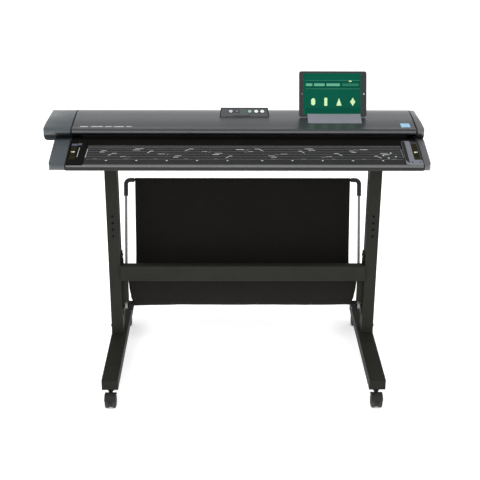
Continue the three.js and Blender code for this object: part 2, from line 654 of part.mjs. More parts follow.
function tabletHolder() {
  const t = TABLET.thick;
  const onLid = (y, up) => [y, lidTopZ(y) + up];
  const bottom = [onLid(294, GAP), onLid(290, GAP), onLid(236, GAP), onLid(214, GAP)];
  const lip = [atTablet(8, 2.8), atTablet(8.6, 2.2), atTablet(8.6, 0.5), atTablet(-0.5, 0.5)];
  const rest = [atTablet(-0.5, -t - 0.5), atTablet(96, -t - 0.5), atTablet(96, -t - 3.4),
    atTablet(4, -t - 3.4)];
  return alongX([...bottom, onLid(214, 1.6), ...lip, ...rest, onLid(294, 2.4)], 216, 397);
}

function tabletBody() {
  const { width, height, thick } = TABLET;
  const r = 7;
  const w = width / 2 - r;
  const corner = (cx, cy, from) => arc(cx, cy, r, from, from + 90, 4);
  const outline = [...corner(w, height - r, 0), ...corner(-w, height - r, 90), ...corner(-w, r, 180),
    ...corner(w, r, 270)];
  const g = new THREE.ExtrudeGeometry(shapeOf(outline), { depth: thick, bevelEnabled: false });
  return g.rotateX(Math.PI / 2).translate(0, thick, 0);
}

const tabletGroup = new THREE.Group();
tabletGroup.position.set(TABLET.x, TABLET.y, TABLET.z);
tabletGroup.rotation.x = -TABLET.lean;
object.add(tabletGroup);

add("lid_shell", lidShell(), MATERIAL.casing);
add("lid_chassis", lidChassis(), MATERIAL.black);
add("background_plate", box(-545, 545, 204, 300, 894.9, 897.9), MATERIAL.white);
add("front_pressure_roller", pressureRoller(ROLLER.frontY), MATERIAL.rubber);
add("rear_pressure_roller", pressureRoller(ROLLER.backY), MATERIAL.rubber);
add("control_panel", controlPanel(), MATERIAL.casing);
BUTTONS.forEach((x, i) => add(`panel_button_${i + 1}`, panelButton(x), MATERIAL.button));
add("tablet_holder", tabletHolder(), MATERIAL.holder);
add("tablet", tabletBody(), MATERIAL.screen, tabletGroup);

export default root;
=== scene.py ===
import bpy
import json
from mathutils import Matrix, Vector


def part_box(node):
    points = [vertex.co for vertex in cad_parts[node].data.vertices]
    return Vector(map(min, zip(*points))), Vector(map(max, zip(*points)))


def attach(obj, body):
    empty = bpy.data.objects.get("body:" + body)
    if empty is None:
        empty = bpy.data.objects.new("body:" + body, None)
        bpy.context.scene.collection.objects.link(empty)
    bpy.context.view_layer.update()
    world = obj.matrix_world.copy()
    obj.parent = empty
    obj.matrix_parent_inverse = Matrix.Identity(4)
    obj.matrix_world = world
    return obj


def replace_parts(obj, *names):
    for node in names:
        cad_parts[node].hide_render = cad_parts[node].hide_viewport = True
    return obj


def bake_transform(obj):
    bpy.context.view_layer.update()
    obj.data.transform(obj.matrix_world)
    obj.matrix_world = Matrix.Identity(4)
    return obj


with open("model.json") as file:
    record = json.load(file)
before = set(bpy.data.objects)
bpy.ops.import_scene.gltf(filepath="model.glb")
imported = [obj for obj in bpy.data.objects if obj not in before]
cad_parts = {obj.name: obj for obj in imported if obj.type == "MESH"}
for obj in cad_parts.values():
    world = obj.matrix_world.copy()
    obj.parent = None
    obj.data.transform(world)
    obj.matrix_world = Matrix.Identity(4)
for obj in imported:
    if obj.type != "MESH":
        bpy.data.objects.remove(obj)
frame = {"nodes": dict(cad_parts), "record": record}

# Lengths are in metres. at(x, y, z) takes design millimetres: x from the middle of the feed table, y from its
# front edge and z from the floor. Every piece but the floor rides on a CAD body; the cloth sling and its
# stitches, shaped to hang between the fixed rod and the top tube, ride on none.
"""The looks of a wide-format sheet-fed scanner on a rolling stand, with a cloth catch basket and a tablet.

Lengths are in metres. at(x, y, z) takes design millimetres: x from the middle of the feed table, y from its
front edge and z from the floor. Every piece rides on a CAD body, and the cloth sling bends between two.
"""
import json
import math

import bpy
import bmesh
from mathutils import Matrix, Vector, noise

MM = 0.001
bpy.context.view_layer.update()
NODES = frame["nodes"]
BODY_OF = {name: body for body, names in frame["record"]["behaviour"]["bodies"].items() for name in names}
SLOT_OF = {part["node"]: part["material_slot"] for part in frame["record"]["subparts"]}
TABLE_LOW, TABLE_HIGH = (Vector(corner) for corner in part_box("feed_table"))
MID_X = (TABLE_LOW.x + TABLE_HIGH.x) / 2
FRONT_Y = TABLE_LOW.y

# -------- design values shared with the CAD model
TABLE_Z = 850  # the feed table's front top edge
MODULE_TOP = 4.32  # top faces over the table
LATCH_TOP = 3.42
TABLE_SLOPE = math.atan(0.2436)
LID_HALF = 573.5
LID_PROFILE = [(167, 905), (162.5, 907.5), (160.5, 912), (161, 917.5), (165.5, 921.8), (190, 926),
               (236, 932.5), (290, 938), (318, 940.2), (335, 940.6), (352, 938.3), (372, 932.6), (392, 923),
               (408, 910), (414.5, 901.5)]
PANEL_TILT = math.radians(28)
PANEL_FACE = (270.5, 937.8)
PANEL_X = (-83, 87)
BUTTONS = (-45, -24, 20, 42.5, 63)
BUTTON_ALONG = 24.5
TABLET = {"x": 303, "y": 262, "z": 940.4, "width": 230, "height": 154, "thick": 8, "lean": math.radians(22)}
LEG = {"inner": 443.5, "outer": 486, "front": 270, "back": 330, "first_hole": 570.5, "pitch": 25.4}
FOOT = {"outer": 486, "inner": 430, "front": -79, "back": 540, "bottom": 70, "top": 107}
CASTER_ENDS = (("front", -54, -20), ("rear", 515, 20))  # stem's y, and how far the axle trails it
CASTERS = [(side, *end) for side in (-1, 1) for end in CASTER_ENDS]
CASTER_X = 458
ARM = {"x": 464, "under": 782.8}
BRACKET_FACE = 440.2
PIVOT = (294, 207)
TOP_TUBE = (450, 645)
FRONT_ROD = (304, 362)
SIDE_NAME = {-1: "left", 1: "right"}


def at(x, y, z):
    """A point given in design millimetres, in the row frame."""
    return Vector((MID_X + x * MM, FRONT_Y + y * MM, z * MM))


def face(x0, y0, z0, angle):
    """Places points on a sloping face: x along it, s up it from its front edge and w out of it."""
    run, rise = math.cos(angle), math.sin(angle)
    return lambda x, s, w=0.0: at(x0 + x, y0 + s * run - w * rise, z0 + s * rise + w * run)


on_table = face(0, 0, TABLE_Z, TABLE_SLOPE)
on_panel = face(0, *PANEL_FACE, PANEL_TILT)
on_tablet = face(TABLET["x"], TABLET["y"], TABLET["z"], math.pi / 2 - TABLET["lean"])


def out_of(place):
    """The way a placed face looks."""
    return place(0, 0, 1) - place(0, 0, 0)


def on_lid(x, y, w=0.0):
    """A point over the lid's skin at depth y, w above it."""
    for (y0, z0), (y1, z1) in zip(LID_PROFILE[4:], LID_PROFILE[5:]):
        if y <= y1:
            break
    slope = (z1 - z0) / (y1 - y0)
    size = math.hypot(1, slope)
    return at(x, y - w * slope / size, z0 + (y - y0) * slope + w / size)


# -------- node materials
def set_stops(ramp, stops):
    """stops are (position, colour)."""
    elements = ramp.color_ramp.elements
    while len(elements) < len(stops):
        elements.new(0.5)
    for element, (position, colour) in zip(elements, stops):
        element.position = position
        element.color = (*colour, 1)


class Nodes:
    """A small builder for one material's node tree."""

    def __init__(self, name):
        self.material = bpy.data.materials.new(name)
        self.material.use_nodes = True
        self.tree = self.material.node_tree
        self.shader = self.tree.nodes["Principled BSDF"]
        self.coordinates = self.tree.nodes.new("ShaderNodeTexCoord").outputs["Object"]

    def node(self, kind, **settings):
        made = self.tree.nodes.new(kind)
        for key, value in settings.items():
            setattr(made, key, value)
        return made

    def link(self, source, target):
        self.tree.links.new(source, target)

    def stretched(self, scale=(1, 1, 1), turn=(0, 0, 0)):
        mapping = self.node("ShaderNodeMapping")
        mapping.inputs["Scale"].default_value = scale
        mapping.inputs["Rotation"].default_value = turn
        self.link(self.coordinates, mapping.inputs["Vector"])
        return mapping.outputs["Vector"]

    def noise(self, scale, detail=4, roughness=0.6, vector=None):
        made = self.node("ShaderNodeTexNoise")
        made.inputs["Scale"].default_value = scale
        made.inputs["Detail"].default_value = detail
        made.inputs["Roughness"].default_value = roughness
        self.link(vector or self.coordinates, made.inputs["Vector"])
        return made.outputs["Fac"]

    def wave(self, scale, axis="X", distortion=0.0, vector=None):
        made = self.node("ShaderNodeTexWave", bands_direction=axis)
        made.inputs["Scale"].default_value = scale
        made.inputs["Distortion"].default_value = distortion
        self.link(vector or self.coordinates, made.inputs["Vector"])
        return made.outputs["Fac"]

    def ramp(self, value, *stops):
        made = self.node("ShaderNodeValToRGB")
        set_stops(made, stops)
        self.link(value, made.inputs["Fac"])
        return made.outputs["Color"]

    def toned(self, value, colour, amount):
        """The colour, darker and lighter by amount."""
        return self.ramp(value, (0.3, shade(colour, 1 - amount)), (0.7, shade(colour, 1 + amount)))

    def spread(self, value, low, high, start=0.0, stop=1.0):
        made = self.node("ShaderNodeMapRange")
        for key, number in (("From Min", start), ("From Max", stop), ("To Min", low), ("To Max", high)):
            made.inputs[key].default_value = number
        self.link(value, made.inputs["Value"])
        return made.outputs["Result"]

    def math(self, operation, a, b):
        made = self.node("ShaderNodeMath", operation=operation)
        for socket, value in zip(made.inputs, (a, b)):
            if isinstance(value, (int, float)):
                socket.default_value = value
            else:
                self.link(value, socket)
        return made.outputs["Value"]

    def mix(self, factor, a, b):
        made = self.node("ShaderNodeMix", data_type="RGBA")
        self.link(factor, made.inputs[0])
        for socket, value in ((made.inputs[6], a), (made.inputs[7], b)):
            if isinstance(value, tuple):
                socket.default_value = (*value, 1)
            else:
                self.link(value, socket)
        return made.outputs[2]

    def place(self, axis):
        """One object coordinate, in metres."""
        split = self.node("ShaderNodeSeparateXYZ")
        self.link(self.coordinates, split.inputs["Vector"])
        return split.outputs[axis]

    def bump(self, height, distance, strength=1.0):
        made = self.node("ShaderNodeBump")
        made.inputs["Distance"].default_value = distance
        made.inputs["Strength"].default_value = strength
        self.link(height, made.inputs["Height"])
        self.link(made.outputs["Normal"], self.shader.inputs["Normal"])

    def colour(self, output):
        self.link(output, self.shader.inputs["Base Color"])

    def roughness(self, output):
        self.link(output, self.shader.inputs["Roughness"])

    def set(self, **values):
        for key, value in values.items():
            self.shader.inputs[key.replace("_", " ")].default_value = value
        return self.material


def shade(colour, factor):
    return tuple(min(1.0, c * factor) for c in colour)


def moulded(name, colour, rough=0.4, grain=900, depth=0.00006, tone=0.08, worn=0.0, **shader):
    """Moulded or powder-coated surface: slow tone changes, fine grain, uneven gloss, maybe worn edges."""
    m = Nodes(name)
    slow = m.noise(6, detail=3)
    fine = m.noise(grain, detail=2)
    base = m.toned(slow, colour, tone)
    if worn:
        pointy = m.node("ShaderNodeNewGeometry").outputs["Pointiness"]
        edge = m.spread(pointy, 0.0, worn, 0.52, 0.6)
        base = m.mix(m.math("MULTIPLY", edge, m.noise(40)), base, shade(colour, 2.2))
    m.colour(base)
    smudge = m.math("ADD", m.math("MULTIPLY", m.noise(14, detail=6), 0.6), m.math("MULTIPLY", fine, 0.4))
    m.roughness(m.spread(smudge, rough - 0.07, rough + 0.1, 0.3, 0.7))
    m.bump(fine, depth, 0.6)
    return m.set(**{"Coat_Roughness": 0.2, **shader})


def plated(name, colour, rough=0.25, along=(400, 400, 6)):
    """Bright metal with fine drawn lines along its length."""
    m = Nodes(name)
    lines = m.noise(1, detail=3, vector=m.stretched(along))
    m.colour(m.ramp(lines, (0.3, shade(colour, 0.86)), (0.7, shade(colour, 1.1))))
    m.roughness(m.spread(lines, rough - 0.06, rough + 0.12, 0.3, 0.7))
    m.bump(lines, 0.00002, 0.5)
    return m.set(Metallic=1.0)


def woven(name, colour, scale=160):
    """Plain-weave cloth, about one thread to the millimetre, with slubs and a soft sheen."""
    m = Nodes(name)
    threads = m.math("MULTIPLY", m.wave(scale, "X"), m.wave(scale, "Z"))
    slub = m.noise(60, detail=5, vector=m.stretched((1, 1, 6)))
    slow = m.noise(5, detail=4)
    tone = m.math("ADD", m.math("MULTIPLY", threads, 0.35), m.math("MULTIPLY", slub, 0.65))
    base = m.ramp(tone, (0.2, shade(colour, 0.7)), (0.75, shade(colour, 1.35)))
    m.colour(m.mix(m.spread(slow, 0.0, 0.3, 0.35, 0.7), base, shade(colour, 1.5)))
    m.roughness(m.spread(slub, 0.82, 0.97))
    m.bump(m.math("ADD", threads, m.math("MULTIPLY", slub, 0.5)), 0.0002, 0.5)
    return m.set(Sheen_Weight=0.03, Sheen_Roughness=0.5, Specular_IOR_Level=0.12)


def ribbed_table():
    """Dark coated sheet, slightly metallic, with fine lines along its length."""
    m = Nodes("feed table coating")
    lines = m.noise(1, detail=3, vector=m.stretched((4, 900, 900)))
    slow = m.noise(7, detail=3)
    tone = m.math("ADD", m.math("MULTIPLY", lines, 0.5), m.math("MULTIPLY", slow, 0.5))
    m.colour(m.ramp(tone, (0.3, (0.014, 0.014, 0.014)), (0.7, (0.022, 0.022, 0.0215))))
    m.roughness(m.spread(lines, 0.40, 0.56, 0.3, 0.7))
    m.bump(lines, 0.00004, 0.5)
    return m.set(Metallic=0.2, Specular_IOR_Level=0.22)


def clear_glass():
    m = Nodes("scan glass")
    m.colour(m.ramp(m.noise(9), (0.3, (0.50, 0.60, 0.57)), (0.7, (0.58, 0.68, 0.64))))
    m.roughness(m.spread(m.noise(30, detail=6), 0.03, 0.1, 0.4, 0.8))
    return m.set(Transmission_Weight=0.6, IOR=1.5)


def lit(name, colour, glow, rough=0.15):
    """A lit screen layer: its own colour with a faint fall-off, and the gloss of the cover over it."""
    m = Nodes(name)
    tone = m.toned(m.noise(4, detail=2), colour, 0.07)
    m.colour(tone)
    m.link(tone, m.shader.inputs["Emission Color"])
    m.roughness(m.spread(m.noise(50, detail=5), rough - 0.04, rough + 0.08, 0.3, 0.7))
    return m.set(Emission_Strength=glow, Specular_IOR_Level=0.06)


def end_casing(name, colour, overhang):
    """Satin casing with painted shade: a darker band under the lid's front edge, reaching further down past
    the overhang at the outer end, with its coat and gloss taken away there too.
    """
    m = Nodes(name)
    slow = m.noise(6, detail=3)
    fine = m.noise(800, detail=2)
    height = m.place("Z")
    # painted shade: under the upper cap's edge, and further down at the outer end, the colour falls to 0.3
    outer_shade_band = m.spread(m.math("ABSOLUTE", m.place("X"), 0), 0.0, 1.0, overhang, overhang + 0.001)
    outer_shade_band = m.math("MULTIPLY", outer_shade_band, m.spread(height, 0.0, 1.0, 0.872, 0.874))
    shade_band = m.math("MAXIMUM", outer_shade_band, m.spread(height, 0.0, 1.0, 0.8865, 0.8885))
    under = m.math("MULTIPLY", shade_band, m.spread(height, 1.0, 0.0, 0.899, 0.910))
    m.colour(m.mix(under, m.toned(slow, colour, 0.04), shade(colour, 0.3)))
    m.roughness(m.spread(m.noise(14, detail=6), 0.3, 0.48, 0.3, 0.7))
    m.bump(fine, 0.00005, 0.6)
    m.link(m.spread(under, 0.4, 0.0), m.shader.inputs["Coat Weight"])
    m.link(m.spread(under, 0.5, 0.02), m.shader.inputs["Specular IOR Level"])
    return m.set(Coat_Roughness=0.2)


DIM = {"Specular_IOR_Level": 0.13}
MAT = {
    "lid": moulded("lid satin grey", (0.020, 0.0225, 0.0245), rough=0.3, grain=700, depth=0.00004, tone=0.03,
                   Coat_Weight=0.9, Coat_Roughness=0.3),
    # The two end casings are one moulding: the left gets a darker, bluer copy as painted shade and the right
    # a lighter grey copy as painted light.
    "end": end_casing("left end casing, shaded copy", (0.038, 0.045, 0.050), 0.632 - MID_X),
    "end_right": end_casing("right end casing, lit copy", (0.060, 0.0615, 0.0615), 0.601 + MID_X),
    "elbow": moulded("elbow moulding", (0.036, 0.036, 0.034), rough=0.5, grain=700, Specular_IOR_Level=0.0),
    "rod": moulded("drawn rod", (0.25, 0.25, 0.243), rough=0.42, Metallic=0.12, Specular_IOR_Level=0.0),
    "black": moulded("black moulding", (0.0075, 0.0075, 0.0075), rough=0.5, **DIM),
    # Black deepened as painted shade: the plate in the throat is black and made darker still for the shade
    # there; the left corner module gets it as painted shade.
    "shaded_black": moulded("black deepened as painted shade", (0.0038, 0.0036, 0.0033), rough=0.6, grain=500,
                     Specular_IOR_Level=0.05),
    # Painted shade: a darker copy of the frame's powder coat for the feet, which are welded to the legs and
    # share their coat.
    "foot": moulded("frame powder coat, darkened as painted shade", (0.0095, 0.0095, 0.0075), rough=0.6, grain=420, depth=0.00012,
                    worn=0.15, **DIM),
    "frame": moulded("powder coated frame", (0.0125, 0.0125, 0.0098), rough=0.6, grain=420, depth=0.00012,
                     worn=0.25, **DIM),
    "steel": plated("plated steel rod", (0.52, 0.52, 0.50), rough=0.32),
    "bolt": plated("blackened steel", (0.055, 0.055, 0.052), rough=0.35, along=(300, 300, 300)),
    # Partly painted highlight: the satin metal strip along the table's nose is made lighter than the table to
    # carry the highlight there.
    "trim": moulded("satin metal strip, lightened as painted highlight", (0.10, 0.102, 0.102), rough=0.34, grain=1200, Metallic=0.25),
    "rubber": moulded("roller rubber", (0.014, 0.014, 0.014), rough=0.7, grain=1500, depth=0.0001, **DIM),
    "tyre": moulded("caster tread", (0.026, 0.026, 0.024), rough=0.6, grain=600, depth=0.0001, worn=0.5,
                    **DIM),
    "cloth": woven("basket cloth", (0.0090, 0.0083, 0.0071)),
    "thread": woven("stitching thread", (0.03, 0.03, 0.027), scale=900),
    "white": moulded("white backing", (0.75, 0.75, 0.73), rough=0.5),
    "module": moulded("corner module, painted light grey", (0.095, 0.099, 0.116), rough=0.45),
    "key": moulded("key cap", (0.5, 0.53, 0.515), rough=0.3, Coat_Weight=0.2),
    "holder": moulded("tablet holder", (0.108, 0.113, 0.130), rough=0.5, grain=400, Coat_Weight=0.25,
                      Coat_Roughness=0.4),
    "tablet": moulded("tablet casing", (0.013, 0.0145, 0.016), rough=0.28, grain=1500, depth=0.00002),
    "board": moulded("circuit board", (0.01, 0.09, 0.035), rough=0.35, grain=300),
    "table": ribbed_table(),
    "glass": clear_glass(),
    "caster": moulded("caster housing", (0.0145, 0.015, 0.0135), rough=0.5, grain=600, worn=0.4, **DIM),
    "panel": moulded("control panel grey", (0.045, 0.047, 0.050), rough=0.42, grain=700,
                     Specular_IOR_Level=0.3),
    "rim": moulded("panel rim dark", (0.012, 0.012, 0.013), rough=0.5, **DIM),
    "key_grey": moulded("key cap grey", (0.30, 0.31, 0.33), rough=0.3),
    "key_dark": moulded("key cap dark", (0.06, 0.062, 0.065), rough=0.4),
    "key_green": moulded("key cap dim green", (0.20, 0.29, 0.25), rough=0.3),
    "window": moulded("status window", (0.05, 0.064, 0.058), rough=0.12, grain=1500, depth=0.00001),
    # These two colours print the marks and also draw painted highlight lines along the ribs and the table and
    # module edges.
    "print_and_highlight": moulded("light print and painted highlights", (0.29, 0.30, 0.29), rough=0.5, grain=2000, depth=0.00001),
    "faint_print_and_highlight": moulded("grey print and painted highlights", (0.11, 0.113, 0.113), rough=0.5, grain=2000, depth=0.00001),
    "cream": moulded("cream pointer", (0.55, 0.52, 0.36), rough=0.45),
    "violet_highlight": moulded("pale violet painted highlight", (0.055, 0.058, 0.088), rough=0.45),
    "olive": moulded("latch olive black", (0.0115, 0.011, 0.0045), rough=0.5, **DIM),
    "label": moulded("plain blue label", (0.19, 0.32, 0.44), rough=0.35, tone=0.03),
    "edge_highlight_satin": moulded("lid edge, painted highlight", (0.075, 0.078, 0.081), rough=0.4, grain=600, Coat_Weight=0.1),
    "gasket": moulded("gasket black", (0.009, 0.009, 0.009), rough=0.65, grain=1200, **DIM),
    "screen": lit("tablet screen green", (0.001, 0.041, 0.0245), 0.5),
    "screen_dark": lit("tablet screen deep green", (0.0008, 0.034, 0.021), 0.5),
    "screen_text": lit("tablet screen pale green", (0.31, 0.43, 0.23), 0.25),
    "screen_mid": lit("tablet screen mid green", (0.055, 0.185, 0.12), 0.35),
    "screen_dim": lit("tablet screen dim green", (0.012, 0.080, 0.052), 0.35),
    "lens": moulded("silver dot", (0.45, 0.47, 0.48), rough=0.25, Metallic=0.6),
    "brass": plated("contact pins", (0.60, 0.52, 0.30), along=(300, 300, 300)),
}

LOOK = {
    "lid_shell": "lid", "control_panel": "panel", "left_end_housing": "end", "right_end_housing": "end_right",
    "lid_chassis": "black", "guide_plate": "shaded_black", "base_chassis": "frame", "feed_table": "table",
    # the corner modules are one part mirrored: the left gets the shaded black as painted shade, the right
    # grey as painted light
    "front_trim_strip": "trim", "left_corner_module": "shaded_black", "right_corner_module": "module",
    "scan_glass": "glass", "sensor_bar": "black", "drive_motor": "bolt", "motor_pulley": "steel",
    "drive_belt": "rubber", "control_board": "board", "connector_panel": "black", "background_plate": "white",
    "tablet_holder": "holder", "tablet": "tablet", "crossbar": "frame", "basket_front_rod": "frame",
    "basket_top_tube": "black", "basket_rear_cloth": "cloth", "basket_front_cloth": "cloth",
}
for end in ("front", "rear"):
    LOOK.update({f"{end}_{kind}_roller": "rubber" for kind in ("drive", "pressure")})
for side in ("left", "right"):
    LOOK.update({f"{side}_{part}": "frame" for part in ("leg", "bracket", "top_arm")})
    LOOK.update({f"{side}_foot": "foot", f"{side}_basket_knob": "black", f"{side}_lid_latch": "olive"})
    LOOK.update({f"basket_{side}_rod": "rod", f"basket_{side}_elbow": "elbow"})
    for end in ("front", "rear"):
        LOOK.update({f"{end}_{side}_caster_housing": "caster", f"{end}_{side}_caster_wheels": "tyre"})
for number, look in enumerate(("key_grey", "key_dark", "key_green", "key", "key"), start=1):
    LOOK[f"panel_button_{number}"] = look

for name, look in LOOK.items():
    mesh = NODES[name].data
    mesh.materials.clear()
    mesh.materials.append(MAT[look])


# -------- mesh helpers
def circle(centre, across, other, r, sides=24):
    """Points round a centre in the plane of two unit vectors."""
    turns = (math.tau * i / sides for i in range(sides))
    return [centre + (across * math.cos(a) + other * math.sin(a)) * r for a in turns]


class Shape:
    """Collects closed bodies into one mesh."""

    def __init__(self):
        self.verts = []
        self.faces = []

    def skin(self, rings, capped=True):
        """Joins successive rings of equal length, and caps the two ends."""
        first = len(self.verts)
        count = len(rings[0])
        for ring in rings:
            self.verts.extend(ring)
        for k in range(len(rings) - 1):
            for i in range(count):
                a = first + k * count + i
                b = first + k * count + (i + 1) % count
                self.faces.append((a, b, b + count, a + count))
        if capped:
            last = first + (len(rings) - 1) * count
            self.faces.append(tuple(first + i for i in reversed(range(count))))
            self.faces.append(tuple(last + i for i in range(count)))
        return self

    def loop(self, rings):
        """Joins successive rings and the last one to the first, which makes a body like a picture frame."""
        first = len(self.verts)
        count = len(rings[0])
        last = first + (len(rings) - 1) * count
        self.skin(rings, capped=False)
        for i in range(count):
            j = (i + 1) % count
            self.faces.append((last + i, last + j, first + j, first + i))
        return self

    def plate(self, place, outline, low, high, edge=0.0):
        """A flat body: an outline of (u, v), from w = low to high, its top edge turned in by edge."""
        rings = [[place(u, v, low) for u, v in outline], [place(u, v, high - edge) for u, v in outline]]
        if edge:
            rings.append([place(u, v, high) for u, v in drawn_in(outline, edge)])
        return self.skin(rings)

    def turned(self, origin, axis, profile, sides=24, capped=True):
        """profile is (radius, distance along the axis), in mm."""
        axis = Vector(axis).normalized()
        across = axis.orthogonal().normalized()
        other = axis.cross(across)
        rings = [circle(origin + axis * along * MM, across, other, max(radius, 0.02) * MM, sides)
                 for radius, along in profile]
        return self.skin(rings, capped)

    def run(self, line, x0, x1, chamfer):
        """A closed (y, z) line carried along x, its two ends drawn in by chamfer."""
        stations = ((x0, chamfer), (x0 + chamfer, 0), (x1 - chamfer, 0), (x1, chamfer))
        return self.skin([[at(x, y, z) for y, z in drawn_in(line, inset)] for x, inset in stations])


def drawn_in(outline, edge):
    """The outline with each corner moved towards the middle, by edge both ways."""
    mu, mv = (sum(values) / len(outline) for values in zip(*outline))
    return [(u - edge * math.copysign(min(1, abs(u - mu)), u - mu),
             v - edge * math.copysign(min(1, abs(v - mv)), v - mv)) for u, v in outline]


def arc(u, v, r, degrees):
    return [(u + r * math.cos(a), v + r * math.sin(a)) for a in map(math.radians, degrees)]


def disc(u, v, r, sides=20):
    return arc(u, v, r, (360 * i / sides for i in range(sides)))


def rounded(u0, u1, v0, v1, r):
    """A rounded rectangle, counter-clockwise."""
    centres = ((u1 - r, v1 - r), (u0 + r, v1 - r), (u0 + r, v0 + r), (u1 - r, v0 + r))
    return [point for k, (u, v) in enumerate(centres)
            for point in arc(u, v, r, (90 * k + 22.5 * i for i in range(5)))]


def stroke(a, b, width):
    """A thin bar from a to b as an outline."""
    du, dv = b[0] - a[0], b[1] - a[1]
    size = math.hypot(du, dv)
    nu, nv = -dv / size * width / 2, du / size * width / 2
    return [(a[0] + nu, a[1] + nv), (a[0] - nu, a[1] - nv), (b[0] - nu, b[1] - nv), (b[0] + nu, b[1] + nv)]


def shown(mesh, body, slot, smooth):
    """Puts a finished mesh in the scene. smooth is the sharpest angle, in degrees, shaded smooth."""
    if smooth:
        mesh.polygons.foreach_set("use_smooth", [True] * len(mesh.polygons))
        mesh.set_sharp_from_angle(angle=math.radians(smooth))
    obj = bpy.data.objects.new(mesh.name, mesh)
    bpy.context.scene.collection.objects.link(obj)
    if body:
        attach(obj, body)
    return obj


def piece(name, shape, material, body, slot, smooth=None):
    """Makes a named piece from a shape, with its faces turned outwards, and has it ride on a body."""
    mesh = bpy.data.meshes.new(name)
    mesh.from_pydata([tuple(v) for v in shape.verts], [], shape.faces)
    mesh.materials.append(MAT[material] if isinstance(material, str) else material)
    made = bmesh.new()
    made.from_mesh(mesh)
    bmesh.ops.recalc_face_normals(made, faces=made.faces)
    made.to_mesh(mesh)
    made.free()
    return shown(mesh, body, slot, smooth)


def button_head(shape, origin, axis, r, h):
    """A domed screw head with a six-sided socket."""
    rim = [(r * 0.9, -0.6), (r, 0), (r, h * 0.35), (r * 0.86, h * 0.8), (r * 0.6, h), (r * 0.48, h)]
    return shape.turned(origin, axis, [*rim, (r * 0.44, h * 0.35), (0, h * 0.3)], sides=18)


def hex_bolt(shape, origin, axis, r, h):
    """A washer under a six-sided head."""
    shape.turned(origin, axis, [(r * 1.35, 0), (r * 1.4, 0.3), (r * 1.35, 1), (r, 1.1)], sides=24)
    return shape.turned(origin, axis, [(r, 1), (r, h * 0.85), (r * 0.86, h), (0, h)], sides=6)


def refined(node, bevel):
    """Shows a copy of a CAD node in its place, with its edges rounded and its curved faces shaded smooth."""
    made = bmesh.new()
    made.from_mesh(NODES[node].data)
    bmesh.ops.remove_doubles(made, verts=made.verts, dist=0.00002)
    bmesh.ops.dissolve_limit(made, angle_limit=math.radians(0.6), verts=made.verts, edges=made.edges)
    edges = [e for e in made.edges if len(e.link_faces) == 2 and e.calc_face_angle(0) > math.radians(34)]
    bmesh.ops.bevel(made, geom=edges, offset=bevel * MM, offset_type="OFFSET", segments=2, profile=0.5,
                    affect="EDGES", clamp_overlap=True)
    bmesh.ops.triangulate(made, faces=[f for f in made.faces if len(f.verts) > 4])
    mesh = bpy.data.meshes.new(f"{node}_shell")
    made.to_mesh(mesh)
    made.free()
    mesh.materials.append(MAT[LOOK[node]])
    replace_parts(shown(mesh, BODY_OF[node], SLOT_OF[node], 42), node)


# -------- lid
def smoothed(points, steps=5):
    """A smooth open line through the points (Catmull-Rom)."""
    ends = [points[0], *points, points[-1]]
    line = []
    for a, b, c, d in zip(ends, ends[1:], ends[2:], ends[3:]):
        for i in range(steps):
            t = i / steps
            line.append(tuple(
                0.5 * (2 * b[k] + (c[k] - a[k]) * t + (2 * a[k] - 5 * b[k] + 4 * c[k] - d[k]) * t * t
                       + (3 * b[k] - a[k] - 3 * c[k] + d[k]) * t ** 3)
                for k in (0, 1)
            ))
    return [*line, points[-1]]


def offset(line, distance):
    """The open line moved to its left by distance."""
    moved = []
    for i, (y, z) in enumerate(line):
        y0, z0 = line[max(i - 1, 0)]
        y1, z1 = line[min(i + 1, len(line) - 1)]
        size = math.hypot(y1 - y0, z1 - z0)
        moved.append((y - (z1 - z0) / size * distance, z + (y1 - y0) / size * distance))
    return moved


def lid_skin():
    line = smoothed(LID_PROFILE)
    body = Shape().run([*offset(line, -0.2), *reversed(offset(line, -2.4))], -LID_HALF, LID_HALF, chamfer=0.8)
    skin = piece("lid_skin", body, "lid", "lid", "casing", smooth=35)
    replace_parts(skin, "lid_shell")

    # Painted highlight: a light bead along the lid's rounded front edge, where the highlight lies.
    bead = [(161.2, 911.6), (159.9, 912.3), (159.5, 913.6), (159.6, 915.4), (160.4, 916.6), (161.6, 917.0),
            (161.2, 915.6), (161.0, 913)]
    piece("lid_front_highlight_bead", Shape().run(bead, -572.5, 572.5, chamfer=0.5), "edge_highlight_satin", "lid", "casing", smooth=40)

    section = ((526, 0.1), (526, 0.35), (557, 0.35), (557, 0.1))
    rings = [[on_lid(x, 184 + 31 * i / 6, w) for x, w in section] for i in range(7)]
    piece("lid_plain_label", Shape().skin(rings), "label", "lid", "white")

    dashes = Shape()
    for x, width in ((-548, 26), (-512, 40), (-464, 22), (-436, 34), (-394, 18)):
        section = ((0, 0.05), (0, 0.2), (width, 0.2), (width, 0.05))
        dashes.skin([[on_lid(x + u, 184 + 3 * i, w) for u, w in section] for i in range(3)])
    piece("lid_plain_dashes", dashes, "print_and_highlight", "lid", "white")

    screws = Shape()
    for x in (-520, -260, 0, 260, 520):
        button_head(screws, at(x, 411.8, 904.8), (0, 0.75, 0.5), 3.4, 1.6)
    piece("lid_rear_screws", screws, "bolt", "lid", "steel", smooth=30)


